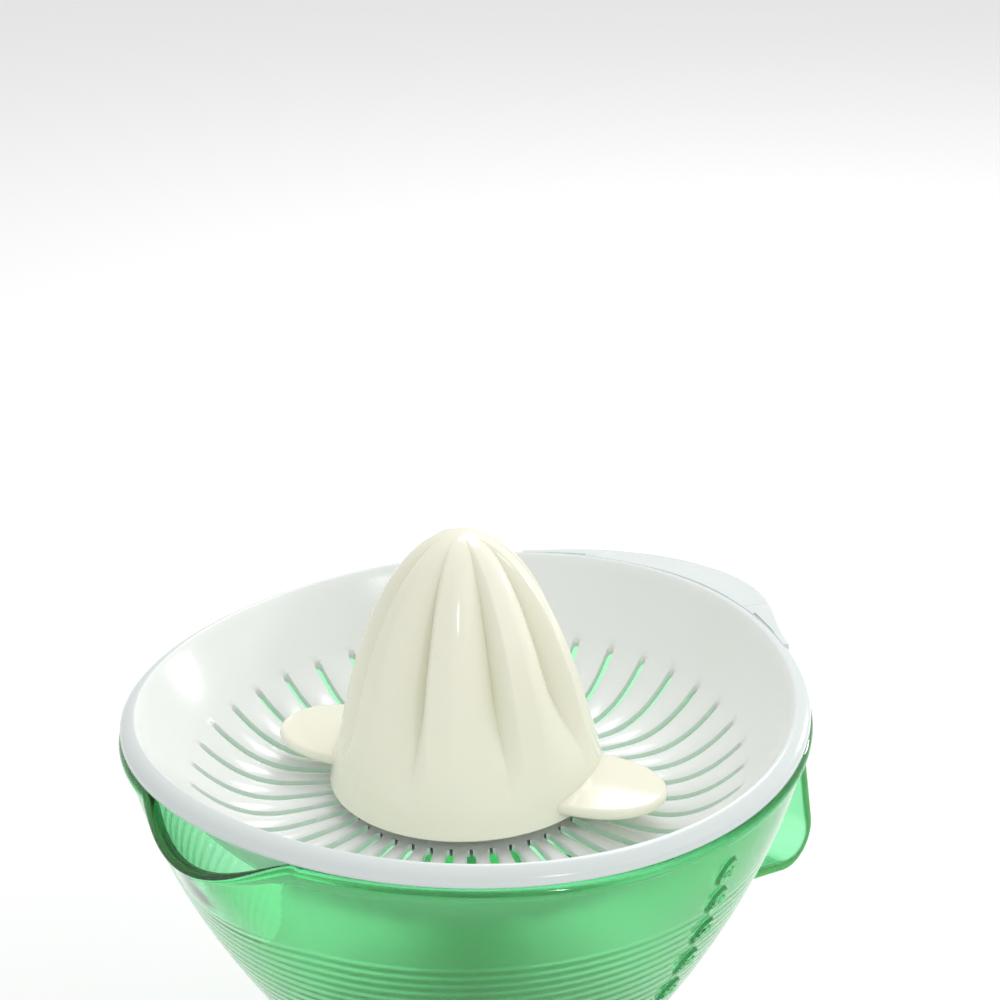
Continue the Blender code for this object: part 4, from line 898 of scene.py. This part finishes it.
def makeSpring():
    # a round wire wound from the bottom of its place to the top, lying flat for 0.4 of a turn at each end
    low, high = (end.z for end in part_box("return_spring"))
    wire, sides = spring["wire"], spring["sides"]
    count = int(spring["turns"] * spring["steps"])
    points = []
    for i in range(count + 1):
        climb = max(0.0, min(1.0, (i / count - spring["flat"]) / (1 - 2 * spring["flat"])))
        share = mix(ease(climb), climb, 0.8)  # a little softened where it leaves the flat turns
        turn = 2 * math.pi * spring["turns"] * i / count
        height = mix(low + wire, high - wire, share)
        for k in range(sides):
            t = 2 * math.pi * k / sides
            r = spring["radius"] + wire * math.cos(t)
            points.append((pressX + r * math.cos(turn), r * math.sin(turn), height + wire * math.sin(t)))
    last = count * sides
    faces = [tuple(range(sides)), tuple(reversed(range(last, last + sides)))]
    for i in range(count):
        for k in range(sides):
            n = (k + 1) % sides
            faces.append((i * sides + k, i * sides + n, (i + 1) * sides + n, (i + 1) * sides + k))
    return meshFrom("springCoil", points, faces), low, high


springMesh, springLow, springHigh = makeSpring()
springCoil = makePiece("springCoil", springMesh, "plateSteel", "base", ["return_spring"], 60)
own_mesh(springCoil)
print("spring:", round((springHigh - springLow) * 1000, 2), "mm long")


def makeFloor():
    mesh = bpy.data.meshes.new("floor")
    mesh.from_pydata([(-30, -30, 0), (30, -30, 0), (30, 30, 0), (-30, 30, 0)], [], [(0, 1, 2, 3)])
    floor = bpy.data.objects.new("floor", mesh)
    bpy.context.scene.collection.objects.link(floor)
    made, tree, shader = newMaterial("floorPaper")
    shader.inputs["Base Color"].default_value = (0.93, 0.93, 0.93, 1)
    shader.inputs["Roughness"].default_value = 0.9
    mesh.materials.append(made)


def softLight(name, place, aim, size, power, colour=(1, 1, 1)):
    lamp = bpy.data.lights.new(name, "AREA")
    lamp.shape = "RECTANGLE"
    lamp.size, lamp.size_y = size
    lamp.energy = power
    lamp.color = colour
    made = bpy.data.objects.new(name, lamp)
    made.location = place
    made.rotation_euler = (Vector(aim) - Vector(place)).to_track_quat("-Z", "Y").to_euler()
    bpy.context.scene.collection.objects.link(made)


lights = {"sky": 0.81, "key": 6.0, "fill": 1.5, "window": 0.96}


def makeLight():
    bpy.context.scene.view_settings.view_transform = "Standard"
    world = bpy.data.worlds.new("studio")
    bpy.context.scene.world = world
    world.use_nodes = True
    sky = world.node_tree.nodes["Background"]
    sky.inputs["Color"].default_value = (1, 1, 1, 1)
    sky.inputs["Strength"].default_value = lights["sky"]
    middle = (pressX, 0, 0.12)
    softLight("keyLight", (0.75, 0.30, 1.15), middle, (0.6, 0.6), lights["key"])
    softLight("fillLight", (0.5, -1.2, 0.9), middle, (0.9, 0.9), lights["fill"])
    softLight("windowLight", (-0.25, -0.9, 0.75), middle, (0.05, 0.24), lights["window"])
    softLight("sideWindow", (0.91, -0.12, 0.33), middle, (0.07, 0.09), lights["window"])


view = {"distance": 0.56, "rise": 27.4, "around": -45.0, "lean": -1.6, "aimRight": 0.01043, "aimUp": 0.0474,
        "scale": 3987.0, "frame": 1000, "sensor": 36.0}  # scale: parts of the frame's width to a metre at the rim


def makeCamera():
    rise, around, lean = (math.radians(view[k]) for k in ("rise", "around", "lean"))
    back = Vector((math.sin(around) * math.cos(rise), -math.cos(around) * math.cos(rise), math.sin(rise)))
    right = Vector((math.cos(around), math.sin(around), 0))
    up = back.cross(right)
    centre = Vector((pressX, 0, rimTop))
    eye = centre + back * view["distance"]
    aim = centre + right * view["aimRight"] + up * view["aimUp"]
    ahead = (aim - eye).normalized()
    side = ahead.cross(Vector((0, 0, 1))).normalized()
    over = side.cross(ahead)
    side, over = (side * math.cos(lean) + over * math.sin(lean), over * math.cos(lean) - side * math.sin(lean))
    lens = bpy.data.cameras.new("camera")
    lens.sensor_width = view["sensor"]
    lens.lens = view["scale"] * (centre - eye).dot(ahead) / view["frame"] * view["sensor"]
    lens.clip_start = 0.01
    lens.clip_end = 50
    made = bpy.data.objects.new("camera", lens)
    bpy.context.scene.collection.objects.link(made)
    made.matrix_world = Matrix((
        (side.x, over.x, -ahead.x, eye.x),
        (side.y, over.y, -ahead.y, eye.y),
        (side.z, over.z, -ahead.z, eye.z),
        (0, 0, 0, 1)))
    bpy.context.scene.camera = made


makeFloor()
makeLight()
makeCamera()
